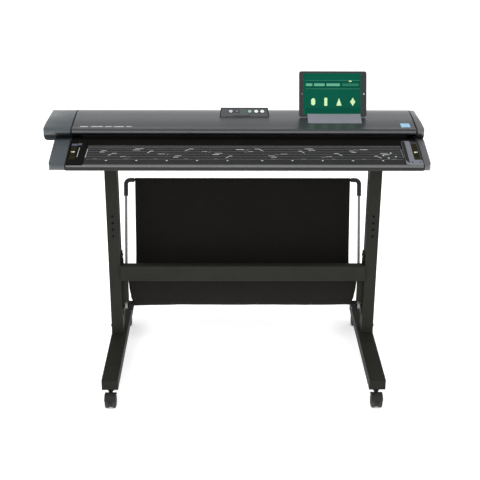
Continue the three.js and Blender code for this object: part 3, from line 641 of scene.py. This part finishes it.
def control_panel_parts():
    x0, x1 = PANEL_X
    rim = Shape()
    # the two side strokes are painted shade on the panel's rounded ends
    sides = ((x0 + 2, 0.8, x0 + 6, 40.5), (x1 - 2, 0.8, x1 - 6, 40.5), (x0 + 5, 40.6, x1 - 5, 40.6))
    for ax, along_a, bx, along_b in sides:
        rim.plate(on_panel, stroke((ax, along_a), (bx, along_b), 3.0), 0.02, 0.7, 0.3)
    rim.plate(on_panel, stroke((-38, 2.2), (22, 2.2), 2.2), 0.02, 0.6, 0.3)
    piece("panel_dark_rim_and_end_shade", rim, "rim", "lid", "casing")

    window = Shape().plate(on_panel, rounded(-13, 11.5, 15.5, 37, 2), 0.02, 0.3)
    window.plate(on_panel, rounded(28.5, 34, 15.5, 37, 1.5), 0.02, 0.3)
    piece("panel_status_window", window, "window", "lid", "glass")

    marks = Shape()
    for x in (-33, -4, 2):
        marks.plate(on_panel, disc(x, 13, 1.3, 10), 0.02, 0.4)
    for x in (-27, -10, 9):
        marks.plate(on_panel, stroke((x - 2.4, 12.4), (x + 2.4, 13.4), 1.3), 0.02, 0.4)
    piece("panel_plain_marks", marks, "faint_print_and_highlight", "lid", "white")

    for number, x in enumerate(BUTTONS, start=1):
        ring = Shape()
        outer, inner = disc(x, BUTTON_ALONG, 8.6, 28), disc(x, BUTTON_ALONG, 7.3, 28)
        ring.loop([[on_panel(u, v, w) for u, v in edge]
                   for edge, w in ((outer, 0.02), (outer, 0.5), (inner, 0.5), (inner, 0.02))])
        piece(f"panel_key_ring_{number}", ring, "rim", "lid", "casing")
        mark = Shape()
        if number % 2:
            mark.plate(on_panel, disc(x, BUTTON_ALONG, 1.7, 12), 1.22, 1.5)
        else:
            mark.plate(on_panel, stroke((x - 2.6, BUTTON_ALONG), (x + 2.6, BUTTON_ALONG), 1.2), 1.22, 1.5)
        look = "print_and_highlight" if number == 2 else "faint_print_and_highlight"
        piece(f"panel_key_mark_{number}", mark, look, f"button_{number}", "white")


def tablet_parts():
    half, high = TABLET["width"] / 2, TABLET["height"]
    glass = Shape().plate(on_tablet, rounded(-half + 1.2, half - 1.2, 1.2, high - 1.2, 6), 0.02, 0.5, 0.3)
    piece("tablet_front_glass", glass, "tablet", "tablet", "screen", smooth=30)

    def layer(name, look, low, top, *outlines):
        """One flat layer of the screen's plain picture."""
        shape = Shape()
        for outline in outlines:
            shape.plate(on_tablet, outline, low, top)
        piece(name, shape, look, "tablet", "screen")

    layer("tablet_screen", "screen", 0.5, 0.62, rounded(-half + 15, half - 20, 6, high - 7, 1))
    layer("tablet_screen_bands", "screen_dark", 0.62, 0.7,
          *(rounded(-half + 22, half - 22, *rows, 2) for rows in ((12, 30), (95.5, 122))))
    layer("tablet_screen_tiles", "screen_text", 0.7, 0.8, rounded(55, 64, 118, 122, 1),
          rounded(-74, -60, 38, 62, 7), rounded(-29, -19, 36, 64, 3), [(12, 37), (30, 37), (21, 63)],
          [(59, 50), (68, 36), (77, 50), (68, 64)])
    layer("tablet_screen_bars", "screen_mid", 0.7, 0.8,
          *(rounded(*span, 103.5, 112.5, 2) for span in ((-92, -70), (-64, -28), (-22, 24))),
          *(rounded(-94, 92, up, up + 0.6, 0.2) for up in (94, 122.5)))
    layer("tablet_screen_inlays", "screen_dim", 0.7, 0.8, rounded(32, 88, 103.5, 112.5, 2))
    out = out_of(on_tablet)
    dots = Shape()
    dots.turned(on_tablet(half - 9, high / 2, 0.5), out, [(2.7, 0), (2.7, 0.25), (2.2, 0.5), (0, 0.42)])
    dots.turned(on_tablet(-half + 10, high / 2, 0.5), out, [(1.6, 0), (1.6, 0.1), (1.2, 0.2), (0, 0.12)])
    piece("tablet_home_dot", dots, "lens", "tablet", "screen", smooth=40)
    back = Shape()
    behind = TABLET["thick"]
    back.plate(lambda u, v, w: on_tablet(u, v, -behind - w), rounded(-half + 3, half - 3, 3, high - 3, 5),
               0.02, 0.16, 0.1)
    back.turned(on_tablet(-84, high - 20, -behind - 0.4), -out,
                [(7, 0), (7, 0.9), (6, 1.4), (4.2, 1.4), (3.8, 0.8), (0, 0.8)])
    piece("tablet_back_cover", back, "tablet", "tablet", "screen", smooth=30)


# -------- scanner base
LOW_LINE = [(6, 833.5), (1, 838), (0, 844), (2, 850.5), (60, 865), (150, 886.5), (160, 887.4)]
HIGH_LINE = [(185, 886.2), (169, 902), (160.5, 911), (160.5, 917.5), (164, 921), (190, 925.2), (236, 931.7),
             (290, 936.9), (338, 938.5), (362, 934.5), (382, 928), (402, 916), (418, 899.5), (430, 877)]
RIBS = [36, 51, 67, 82, 98]
MARK_ROWS = [(101, 26), (88, 18), (73, 24), (57, 20)]  # distance up the table, and length
MARK_X = [28, 62, 104, 140, 196, 232, 284, 318, 366, 404, 444, 474]
# a mark's two strokes: ink, start along it and up from its row, end along it and up, width
MARKS = [
    (("bright", 0, 0, 1, 0, 2.8), ("faint", 1.2, -6, 1.7, 1, 2.0)),
    (("bright", 0, -9, 0.55, 2, 2.4), ("bright", 0.5, 4, 1.1, 4, 2.6)),
    (("bright", 0, -3, 0.9, -3, 2.6), ("bright", 0.3, 5, 1.3, 5, 2.2)),
]


def gaskets():
    for side, word in SIDE_NAME.items():
        seam = Shape()
        for line in (LOW_LINE, HIGH_LINE):
            profile = [*offset(line, 0.7), *reversed(offset(line, -0.6))]
            seam.run(profile, *sorted((side * 575.2, side * 578.2)), chamfer=0.3)
        piece(f"{word}_end_gasket", seam, "gasket", "base", "black", smooth=35)


def table_lines():
    def across(x, s0, s1):
        return [(-x, s0), (-x, s1), (x, s1), (x, s0)]

    band = Shape().plate(on_table, across(516, 109.8, 127), 0.02, 0.5, 0.3)
    piece("table_rear_band", band, "table", "base", "table")
    # Painted highlights: pale lines along the rib edges, and two across the rear band.
    lines = Shape()
    for s in (112, 121):
        lines.plate(on_table, across(514, s, s + 1.1), 0.5, 0.62)
    for s in RIBS:
        lines.plate(on_table, across(514, s + 4.6, s + 5.7), 0.02, 0.14)
    piece("table_rib_highlight_lines", lines, "faint_print_and_highlight", "base", "white")


def table_marks():
    """Guide marks for sheets of several widths: short bars, pointers and slanted leads, with no lettering;
    and a painted highlight along each edge of the table plate.
    """
    print_and_highlight = {"bright": Shape(), "faint": Shape()}

    def mark(look, outline):
        print_and_highlight[look].plate(on_table, outline, 0.02, 0.12)

    for side in (-1, 1):
        for k, x in enumerate(MARK_X):
            s, length = MARK_ROWS[(k * 3 + (side > 0)) % 4]
            for look, a, low, b, high, width in MARKS[k % 3]:
                ends = (side * (x - length * a), s + low), (side * (x - length * b), s + high)
                mark(look, stroke(*ends, width))
        for k in range(5):
            u = side * (56 + 98 * k)
            mark("bright", [(u - 4.5, 31), (u + 4.5, 31), (u, 37)])
            mark("faint", stroke((u + side * 30, 43), (u + side * 44, 43), 2.0))
        # painted highlight: a pale line along the table plate's edge, brighter on the left
        mark("bright" if side < 0 else "faint", stroke((side * 514, 104), (side * 517, 50), 1.8))
    for u, s in ((452, 66), (478, 80), (492, 58), (468, 50)):
        mark("bright", disc(u, s, 3.4, 8))
    piece("table_marks_and_edge_highlight", print_and_highlight["bright"], "print_and_highlight", "base", "white")
    piece("table_faint_marks_and_edge_highlight", print_and_highlight["faint"], "faint_print_and_highlight", "base", "white")


def corner_details():
    arrow = [(553, 80), (559, 75.5), (559, 78.4), (566, 78.4), (566, 81.6), (559, 81.6), (559, 84.5)]
    for side, word in SIDE_NAME.items():
        def spot(x, s, w):
            return on_table(side * x, s, w)
        # painted highlights: pale lines along the module frame's inner edge, brighter on the left
        line = Shape().plate(spot, stroke((540.5, 106), (543, 47), 1.8), MODULE_TOP, 4.5)
        if side > 0:
            line.plate(spot, stroke((548.3, 34), (548.3, 139), 0.9), MODULE_TOP, 4.5)
        piece(f"{word}_module_edge_highlight", line, "print_and_highlight" if side < 0 else "faint_print_and_highlight", "base", "white")
        bed = Shape()
        for span in ((33.4, 61), (99, 139.6)):
            bed.plate(spot, rounded(549.4, 569.6, *span, 1.5), 0.02, 1.4, 0.4)
        for s in (40, 46, 52, 106, 112, 118):
            bed.plate(spot, stroke((552, s), (567, s), 2.2), 1.4, 2.2, 0.3)
        piece(f"{word}_latch_bed", bed, "olive", "base", "module")
        grips = Shape()
        for s in (68, 92):
            grips.plate(spot, stroke((553, s), (566, s), 1.6), LATCH_TOP, 4.1, 0.3)
        piece(f"{word}_latch_grips", grips, "olive", f"{word}_latch", "module")
        pointer = Shape().plate(spot, arrow, LATCH_TOP, 3.7)
        piece(f"{word}_latch_pointer", pointer, "cream", f"{word}_latch", "white")
    # painted highlight: a pale violet patch on the left module, by its top and latch recess
    patch = Shape().plate(on_table, rounded(-569, -550, 120, 133, 1), 2.25, 2.5)
    patch.plate(on_table, rounded(-548, -535, 120, 133, 1), MODULE_TOP, 4.5)
    piece("left_module_highlight_patch", patch, "violet_highlight", "base", "white")
    slant = [(520.6, 147), (520.6, 30), (531.5, 12), (531.5, 147)]
    strip = Shape().plate(on_table, slant, MODULE_TOP, 4.8, 0.2)
    strip.plate(on_table, [(570.3, 30), (574.3, 30), (574.3, 149.5), (570.3, 149.5)], MODULE_TOP, 4.6, 0.1)
    strip.plate(on_table, [(548, 140.4), (570.1, 140.4), (570.1, 149.5), (548, 149.5)], MODULE_TOP, 4.6, 0.1)
    piece("right_module_dark_strip", strip, "rim", "base", "black")
    caps = Shape()
    for x, s in ((-535, 18), (-566, 18), (540, 18), (566, 18)):
        button_head(caps, on_table(x, s, MODULE_TOP), out_of(on_table), 2.6, 1.0)
    piece("module_screws", caps, "bolt", "base", "steel", smooth=30)


def rear_details():
    pins = Shape()
    pin = [(431, 836.2), (431, 839.8), (437, 839.8), (438.4, 839), (438.4, 837), (437, 836.2)]
    for x in (-547, -540, -533):
        pins.run(pin, x - 1, x + 1, chamfer=0.2)
    piece("inlet_pins", pins, "brass", "base", "steel")
    contacts = Shape()
    for i in range(6):
        x = -511 + 1.9 * i
        contacts.run([(430.6, 841.2), (430.6, 842), (436, 842), (436, 841.2)], x, x + 0.9, chamfer=0.1)
    contacts.run([(430.6, 837), (430.6, 839), (436.4, 839), (436.4, 837)], -492.4, -487.6, chamfer=0.2)
    piece("socket_contacts", contacts, "brass", "base", "steel")
    vents = Shape()
    slot = [(434.1, 828), (434.1, 848), (434.5, 848.4), (434.5, 827.6)]
    for x in range(-420, -30, 15):
        vents.run(slot, x - 2.4, x + 2.4, chamfer=0.15)
    piece("rear_vent_slots", vents, "rim", "base", "black")
    heads = Shape()
    for x in (-566, -470, -200, 100, 380, 560):
        button_head(heads, at(x, 434.1, 824.4), (0, 1, 0), 2.2, 1.2)
    for side in (-1, 1):
        for y in (190, 380):
            button_head(heads, at(side * ARM["x"], y, ARM["under"]), (0, 0, -1), 3.6, 1.8)
    piece("chassis_screws", heads, "bolt", "base", "steel", smooth=30)


# -------- stand
def stand_bolts():
    bolts = Shape()
    for side in (-1, 1):
        for y, z in ((285, 760), (315, 760), (285, 130), (315, 130)):
            hex_bolt(bolts, at(side * LEG["outer"], y, z), (side, 0, 0), 4.5, 4.2)
        for y, z in ((298, 402), (322, 402), (322, 340), (322, 250), (322, 190)):
            hex_bolt(bolts, at(side * BRACKET_FACE, y, z), (-side, 0, 0), 4.0, 3.6)
        for y in (184, 396):
            hex_bolt(bolts, at(side * ARM["x"], y, ARM["under"]), (0, 0, -1), 4.5, 4.2)
    piece("stand_bolts", bolts, "bolt", "base", "steel", smooth=25)


def leg_hole_rings():
    rings = Shape()
    profile = [(3.6, -0.4), (6.6, -0.1), (6.6, 0.5), (5.8, 0.9), (3.9, 0.5), (3.6, -0.4)]
    middle = (LEG["inner"] + LEG["outer"]) / 2
    for side in (-1, 1):
        for i in range(4):
            centre = at(side * middle, LEG["front"], LEG["first_hole"] - i * LEG["pitch"])
            rings.turned(centre, (0, -1, 0), profile, capped=False)
    piece("leg_hole_rings", rings, "rim", "base", "black", smooth=40)


def foot_caps(side, word):
    """Stepped plugs in the foot's two open ends."""
    caps = Shape()
    x = side * (FOOT["inner"] + FOOT["outer"]) / 2
    z = (FOOT["bottom"] + FOOT["top"]) / 2
    for y, way in ((FOOT["front"], -1), (FOOT["back"], 1)):
        def on_end(u, v, w):
            return at(x + u, y + way * w, z + v)
        caps.plate(on_end, rounded(-27, 27, -17.5, 17.5, 4), -0.2, 1.6, 0.6)
        caps.plate(on_end, rounded(-20, 20, -11, 11, 3), 1.6, 2.0, 0.2)
    piece(f"{word}_foot_end_caps", caps, "foot", "base", "black", smooth=30)


def leg_weld(side, word):
    """A low collar of weld where the leg stands on the foot."""
    x0, x1, y0, y1 = LEG["inner"] + 0.4, LEG["outer"] - 0.4, LEG["front"] - 0.4, LEG["back"] + 0.4
    wide = rounded(x0 - 1.2, x1 + 1.2, y0 - 1.2, y1 + 1.2, 2)
    tight = rounded(x0 - 0.1, x1 + 0.1, y0, y1, 1)
    foot = FOOT["top"]
    levels = ((wide, foot + 0.1), (wide, foot + 3), (tight, foot + 4.2), (tight, foot + 0.1))
    collar = Shape().loop([[at(side * u, v, z) for u, v in outline] for outline, z in levels])
    piece(f"{word}_leg_weld", collar, "frame", "base", "frame", smooth=40)


def caster_details(side, end, y, trail):
    name = f"{end}_{SIDE_NAME[side]}"
    x = side * CASTER_X
    axle = Shape()
    cap = [(11.5, 0), (11.5, 1.0), (9.5, 1.9), (4.5, 2.0), (4.0, 1.4), (0, 1.4)]
    for way in (-1, 1):
        axle.turned(at(x + way * 17.4, y + trail, 25), (way, 0, 0), cap, sides=28)
    piece(f"{name}_axle_caps", axle, "black", f"{name}_wheels", "black", smooth=30)
    collar = [(10.5, 0), (10.8, 1.6), (9.2, 3.2), (9.2, 5.0), (10, 6), (10, 8.6), (8.4, 9.6), (8.1, 9.6)]
    stem = Shape().turned(at(x, y, 54.2), (0, 0, 1), collar, sides=28)
    piece(f"{name}_stem_collar", stem, "bolt", f"{name}_swivel", "steel", smooth=35)


def pivot_details(side, word):
    y, z = PIVOT
    cap = [(7.5, -0.4), (7.5, 1.2), (6, 2.2), (3.4, 2.2), (3, 1.2), (0, 1.2)]
    hub = Shape().turned(at(side * 405.2, y, z), (-side, 0, 0), cap)
    piece(f"{word}_knob_cap", hub, "rim", f"{word}_knob", "black", smooth=35)
    washer = [(12.5, 0), (13, 0.5), (13, 1.8), (12.5, 2.3), (4, 2.3)]
    plate = Shape().turned(at(side * 434.4, y, z), (side, 0, 0), washer, sides=28)
    piece(f"{word}_pivot_washer", plate, "bolt", "base", "steel", smooth=35)


def stand_details():
    stand_bolts()
    leg_hole_rings()
    for side, word in SIDE_NAME.items():
        foot_caps(side, word)
        leg_weld(side, word)
    for caster in CASTERS:
        caster_details(*caster)
    for side, word in SIDE_NAME.items():
        pivot_details(side, word)


# -------- basket frame
ELBOW = {"x": 430, "bend": 15, "down": 58, "along": 30, "r": 8.0}
BARREL = {"start": 34, "r": 5}  # the rod's plain length, beyond the star knob
SOFTEN = 0.8  # bevel of their ends


def elbow_shell(side, word):
    """The moulded elbow, swept up the rod, round the bend and along to the top tube."""
    corner = at(side * ELBOW["x"], *TOP_TUBE)
    foot = at(side * ELBOW["x"], *PIVOT)
    up = (corner - foot).normalized()
    out = Vector((side, 0, 0))
    bend, down, along, r = (ELBOW[key] for key in ("bend", "down", "along", "r"))
    stations = [(0, -down, 0, r - SOFTEN), (0, SOFTEN - down, 0, r)]
    for degrees in range(0, 91, 9):
        turn = math.radians(degrees)
        stations.append((bend * (1 - math.cos(turn)), bend * (math.sin(turn) - 1), turn, r))
    stations += [(along - SOFTEN, 0, math.pi / 2, r), (along, 0, math.pi / 2, r - SOFTEN)]
    rings = [circle(corner + (up * high - out * inward) * MM, out * math.cos(turn) + up * math.sin(turn),
                    out.cross(up), radius * MM) for inward, high, turn, radius in stations]
    shell = piece(f"basket_{word}_elbow_shell", Shape().skin(rings), "elbow", "basket_frame",
                  SLOT_OF[f"basket_{word}_elbow"], smooth=40)
    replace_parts(shell, f"basket_{word}_elbow")
    start, r = BARREL["start"], BARREL["r"]
    profile = [(r - SOFTEN, start), (r, start + SOFTEN), (r, (corner - foot).length / MM - down)]
    piece(f"basket_{word}_rod_barrel", Shape().turned(foot, up, profile), "rod", "basket_frame",
          SLOT_OF[f"basket_{word}_rod"], smooth=40)


# -------- basket sling
SLING_HALF = 423  # half its width at the fixed rod
SLING_COLUMNS = 150
HEM = 16
CLOTH_THICK = 1.1
STITCH_PITCH = 4.6


def sling_line():
    """The sling's path in (y, z): over the fixed rod, down, round the trough, and up to wrap the top tube."""
    y, z = FRONT_ROD
    wrap = arc(y, z, 6.6, range(-30, 181, 30))
    down = [(y - 5.6, z - 20), (y - 2, 320), (y + 3, 280), (y + 7, 240), (y + 9.5, 216)]
    trough = [(316, 204), (322, 196.5), (331, 193.6), (340, 196), (347, 203.5), (351.5, 216)]
    rise = [(355, 238), (363, 275), (378, 335), (396, 405), (416, 480), (434, 550), (447, 604), (453.5, 632)]
    return [*wrap, *down, *trough, *rise, *arc(*TOP_TUBE, 6.8, range(-20, 200, 30))]


def resampled(line, step):
    """Points at equal steps along a smoothed line, with the distance travelled."""
    fine = smoothed(line, 12)
    travelled = [0.0]
    for a, b in zip(fine, fine[1:]):
        travelled.append(travelled[-1] + math.dist(a, b))
    count = max(2, round(travelled[-1] / step))
    made = []
    k = 0
    for i in range(count + 1):
        goal = travelled[-1] * i / count
        while k < len(fine) - 2 and travelled[k + 1] < goal:
            k += 1
        t = (goal - travelled[k]) / max(1e-9, travelled[k + 1] - travelled[k])
        (y0, z0), (y1, z1) = fine[k], fine[k + 1]
        made.append((y0 + (y1 - y0) * t, z0 + (z1 - z0) * t))
    return made, travelled[-1]


def sling_half(distance, total):
    """Half the sling's width: widest at the fixed rod, narrow at the trough, and straight up the back."""
    stops = [(0, SLING_HALF), (60, 422.5), (110, 419), (150, 414), (178, 406), (240, 400), (430, 397),
             (total, 397.5)]
    for (d0, w0), (d1, w1) in zip(stops, stops[1:]):
        if distance <= d1:
            t = (distance - d0) / (d1 - d0)
            return w0 + (w1 - w0) * (t * t * (3 - 2 * t))
    return stops[-1][1]


def sling_sag(x, distance, half, total):
    """How far the stretched cloth wanders off its path: slow waves, small creases, a ripple by its edges."""
    free = math.sin(math.pi * min(1, max(0, (distance - 30) / (total - 60)))) ** 0.7
    sag = noise.noise(Vector((x / 210, distance / 260, 0.3))) * 3.4
    sag += noise.noise(Vector((x / 46, distance / 120, 4.7))) * 0.9
    near_side = max(0.0, 1 - (half - abs(x)) / 130)
    sag += near_side ** 2 * math.sin(distance / 38 + 0.8 * (x > 0)) * 1.8
    return sag * free


def sling_grid():
    """The two faces' points row by row, the row count, the length along the path and the flat area (mm)."""
    line, total = resampled(sling_line(), 7)
    rows = len(line)
    front, back = [], []
    area = 0.0
    for i, ((y, z), (ny, nz)) in enumerate(zip(line, offset(line, 1.0))):
        distance = total * i / (rows - 1)
        half = sling_half(distance, total)
        area += 2 * half * total / (rows - 1)
        for j in range(SLING_COLUMNS + 1):
            x = -half + 2 * half * j / SLING_COLUMNS
            sag = sling_sag(x, distance, half, total)
            hemmed = half - abs(x) < HEM or distance > total - 34 or distance < 40
            thick = CLOTH_THICK if hemmed else CLOTH_THICK / 2
            dy, dz = ny - y, nz - z
            front.append(at(x, y + dy * (sag + thick), z + dz * (sag + thick)))
            back.append(at(x, y + dy * (sag - thick), z + dz * (sag - thick)))
    return front, back, rows, total, area


def sling_shape(front, back, rows):
    """The two faces joined round all four edges."""
    shape = Shape()
    shape.verts = front + back
    width = SLING_COLUMNS + 1
    under = len(front)
    for i in range(rows - 1):
        for j in range(SLING_COLUMNS):
            a = i * width + j
            shape.faces.append((a, a + 1, a + 1 + width, a + width))
            shape.faces.append((under + a, under + a + width, under + a + 1 + width, under + a + 1))
    loop = list(range(width))
    loop += [i * width + SLING_COLUMNS for i in range(1, rows)]
    loop += [(rows - 1) * width + j for j in range(SLING_COLUMNS - 1, -1, -1)]
    loop += [i * width for i in range(rows - 2, 0, -1)]
    for a, b in zip(loop, loop[1:] + loop[:1]):
        shape.faces.append((a, a + under, b + under, b))
    return shape


def hem_stitches(front, back, rows, total):
    """Two rows of stitches down each side hem, on both faces."""
    stitches = Shape()
    width = SLING_COLUMNS + 1
    across = Vector((0.0004, 0, 0))
    for side in (-1, 1):
        for inset in (5.0, 12.0):
            gone = 52.0
            while gone < total - 40:
                k = gone / total * (rows - 1)
                i = int(k)
                half = sling_half(gone, total)
                share = ((half - inset) * side / half + 1) / 2
                j = min(SLING_COLUMNS, max(0, round(share * SLING_COLUMNS)))
                a, b = front[i * width + j], front[(i + 1) * width + j]
                normal = (a - back[i * width + j]).normalized()
                along = (b - a).normalized() * 0.0013
                shift = Vector((side * (half - inset) * MM + MID_X - a.x, 0, 0))
                place = a + (b - a) * (k - i) + shift
                for way, spot in ((1, place), (-1, place - normal * 2 * CLOTH_THICK * MM)):
                    lift = normal * 0.00035 * way
                    ring = [spot - along - across, spot - along + across,
                            spot + along + across, spot + along - across]
                    stitches.skin([[p - lift * 0.3 for p in ring], [p + lift for p in ring]])
                gone += STITCH_PITCH
    return stitches


def sling():
    front, back, rows, total, area = sling_grid()
    cloth = piece("basket_sling", sling_shape(front, back, rows), "cloth", None, "cloth", smooth=60)
    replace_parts(cloth, "basket_rear_cloth", "basket_front_cloth")
    stitches = hem_stitches(front, back, rows, total)
    thread = piece("basket_hem_stitches", stitches, "thread", None, "cloth")
    for obj in (cloth, thread):
        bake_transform(obj)


lid_skin()
control_panel_parts()
tablet_parts()
for side in SIDE_NAME.values():
    refined(f"{side}_end_housing", bevel=1.2)
for side in SIDE_NAME.values():
    refined(f"{side}_basket_knob", bevel=1.0)
    for end, _, _ in CASTER_ENDS:
        refined(f"{end}_{side}_caster_housing", bevel=1.2)
        refined(f"{end}_{side}_caster_wheels", bevel=1.0)
for side, word in SIDE_NAME.items():
    elbow_shell(side, word)
gaskets()
table_lines()
table_marks()
corner_details()
rear_details()
stand_details()
sling()


# -------- stage, light and camera
def world_light(scene):
    """An even white surround that falls off to grey overhead."""
    world = bpy.data.worlds.new("studio")
    world.use_nodes = True
    tree = world.node_tree
    spot = tree.nodes.new("ShaderNodeTexCoord")
    split = tree.nodes.new("ShaderNodeSeparateXYZ")
    ramp = tree.nodes.new("ShaderNodeValToRGB")
    tree.links.new(spot.outputs["Generated"], split.inputs["Vector"])
    tree.links.new(split.outputs["Z"], ramp.inputs["Fac"])
    tree.links.new(ramp.outputs["Color"], tree.nodes["Background"].inputs["Color"])
    set_stops(ramp, [(z, (level,) * 3) for z, level in ((0.0, 1.0), (0.38, 1.0), (0.50, 0.34), (0.8, 0.2))])
    tree.nodes["Background"].inputs["Strength"].default_value = 1.0
    scene.world = world


def floor():
    white = Nodes("studio floor")
    white.colour(white.ramp(white.noise(2), (0.3, (0.93, 0.93, 0.93)), (0.7, (0.95, 0.95, 0.95))))
    white.set(Roughness=0.9, Specular_IOR_Level=0.1, Emission_Color=(1, 1, 1, 1), Emission_Strength=0.3)
    shape = Shape()
    shape.verts = [Vector((14 * x, 14 * y, 0)) for x, y in ((-1, -1), (1, -1), (1, 1), (-1, 1))]
    shape.faces = [(0, 1, 2, 3)]
    piece("floor", shape, white.material, None, "white")


def lamp(scene, name, kind, energy):
    data = bpy.data.lights.new(name, kind)
    data.energy = energy
    obj = bpy.data.objects.new(name, data)
    obj.visible_glossy = False
    scene.collection.objects.link(obj)
    return obj


def studio():
    scene = bpy.context.scene
    scene.view_settings.view_transform = "Standard"
    world_light(scene)
    floor()
    softboxes = (
        ("key", (-1.8, -2.4, 3.0), 2.4, 62),
        ("fill", (2.4, -2.2, 2.8), 2.4, 46),
        ("top", (0.0, -0.9, 3.6), 2.6, 64),
    )
    for name, place, size, power in softboxes:
        box = lamp(scene, name, "AREA", power)
        box.data.size = size
        box.location = place
        box.rotation_euler = (Vector((0, 0, 0.5)) - Vector(place)).to_track_quat("-Z", "Y").to_euler()
    sky = lamp(scene, "overhead", "SUN", 1.7)
    sky.data.angle = math.radians(80)
    sky.rotation_euler = (math.radians(12), 0, 0)


def camera():
    pitch, yaw, roll = (math.radians(a) for a in (22.6736, 0.7412, 0.294))
    forward = Vector((math.sin(yaw) * math.cos(pitch), math.cos(yaw) * math.cos(pitch), -math.sin(pitch)))
    right = Vector((math.cos(yaw), -math.sin(yaw), 0))
    up = right.cross(forward)
    turned_right = right * math.cos(roll) + up * math.sin(roll)
    turned_up = up * math.cos(roll) - right * math.sin(roll)
    data = bpy.data.cameras.new("camera")
    data.sensor_width = 36
    data.lens = 76.39
    obj = bpy.data.objects.new("camera", data)
    columns = Matrix((turned_right, turned_up, -forward)).transposed()
    obj.matrix_world = Matrix.Translation(at(-54.8, -3101.7, 1889.3)) @ columns.to_4x4()
    bpy.context.scene.collection.objects.link(obj)
    bpy.context.scene.camera = obj


studio()
camera()
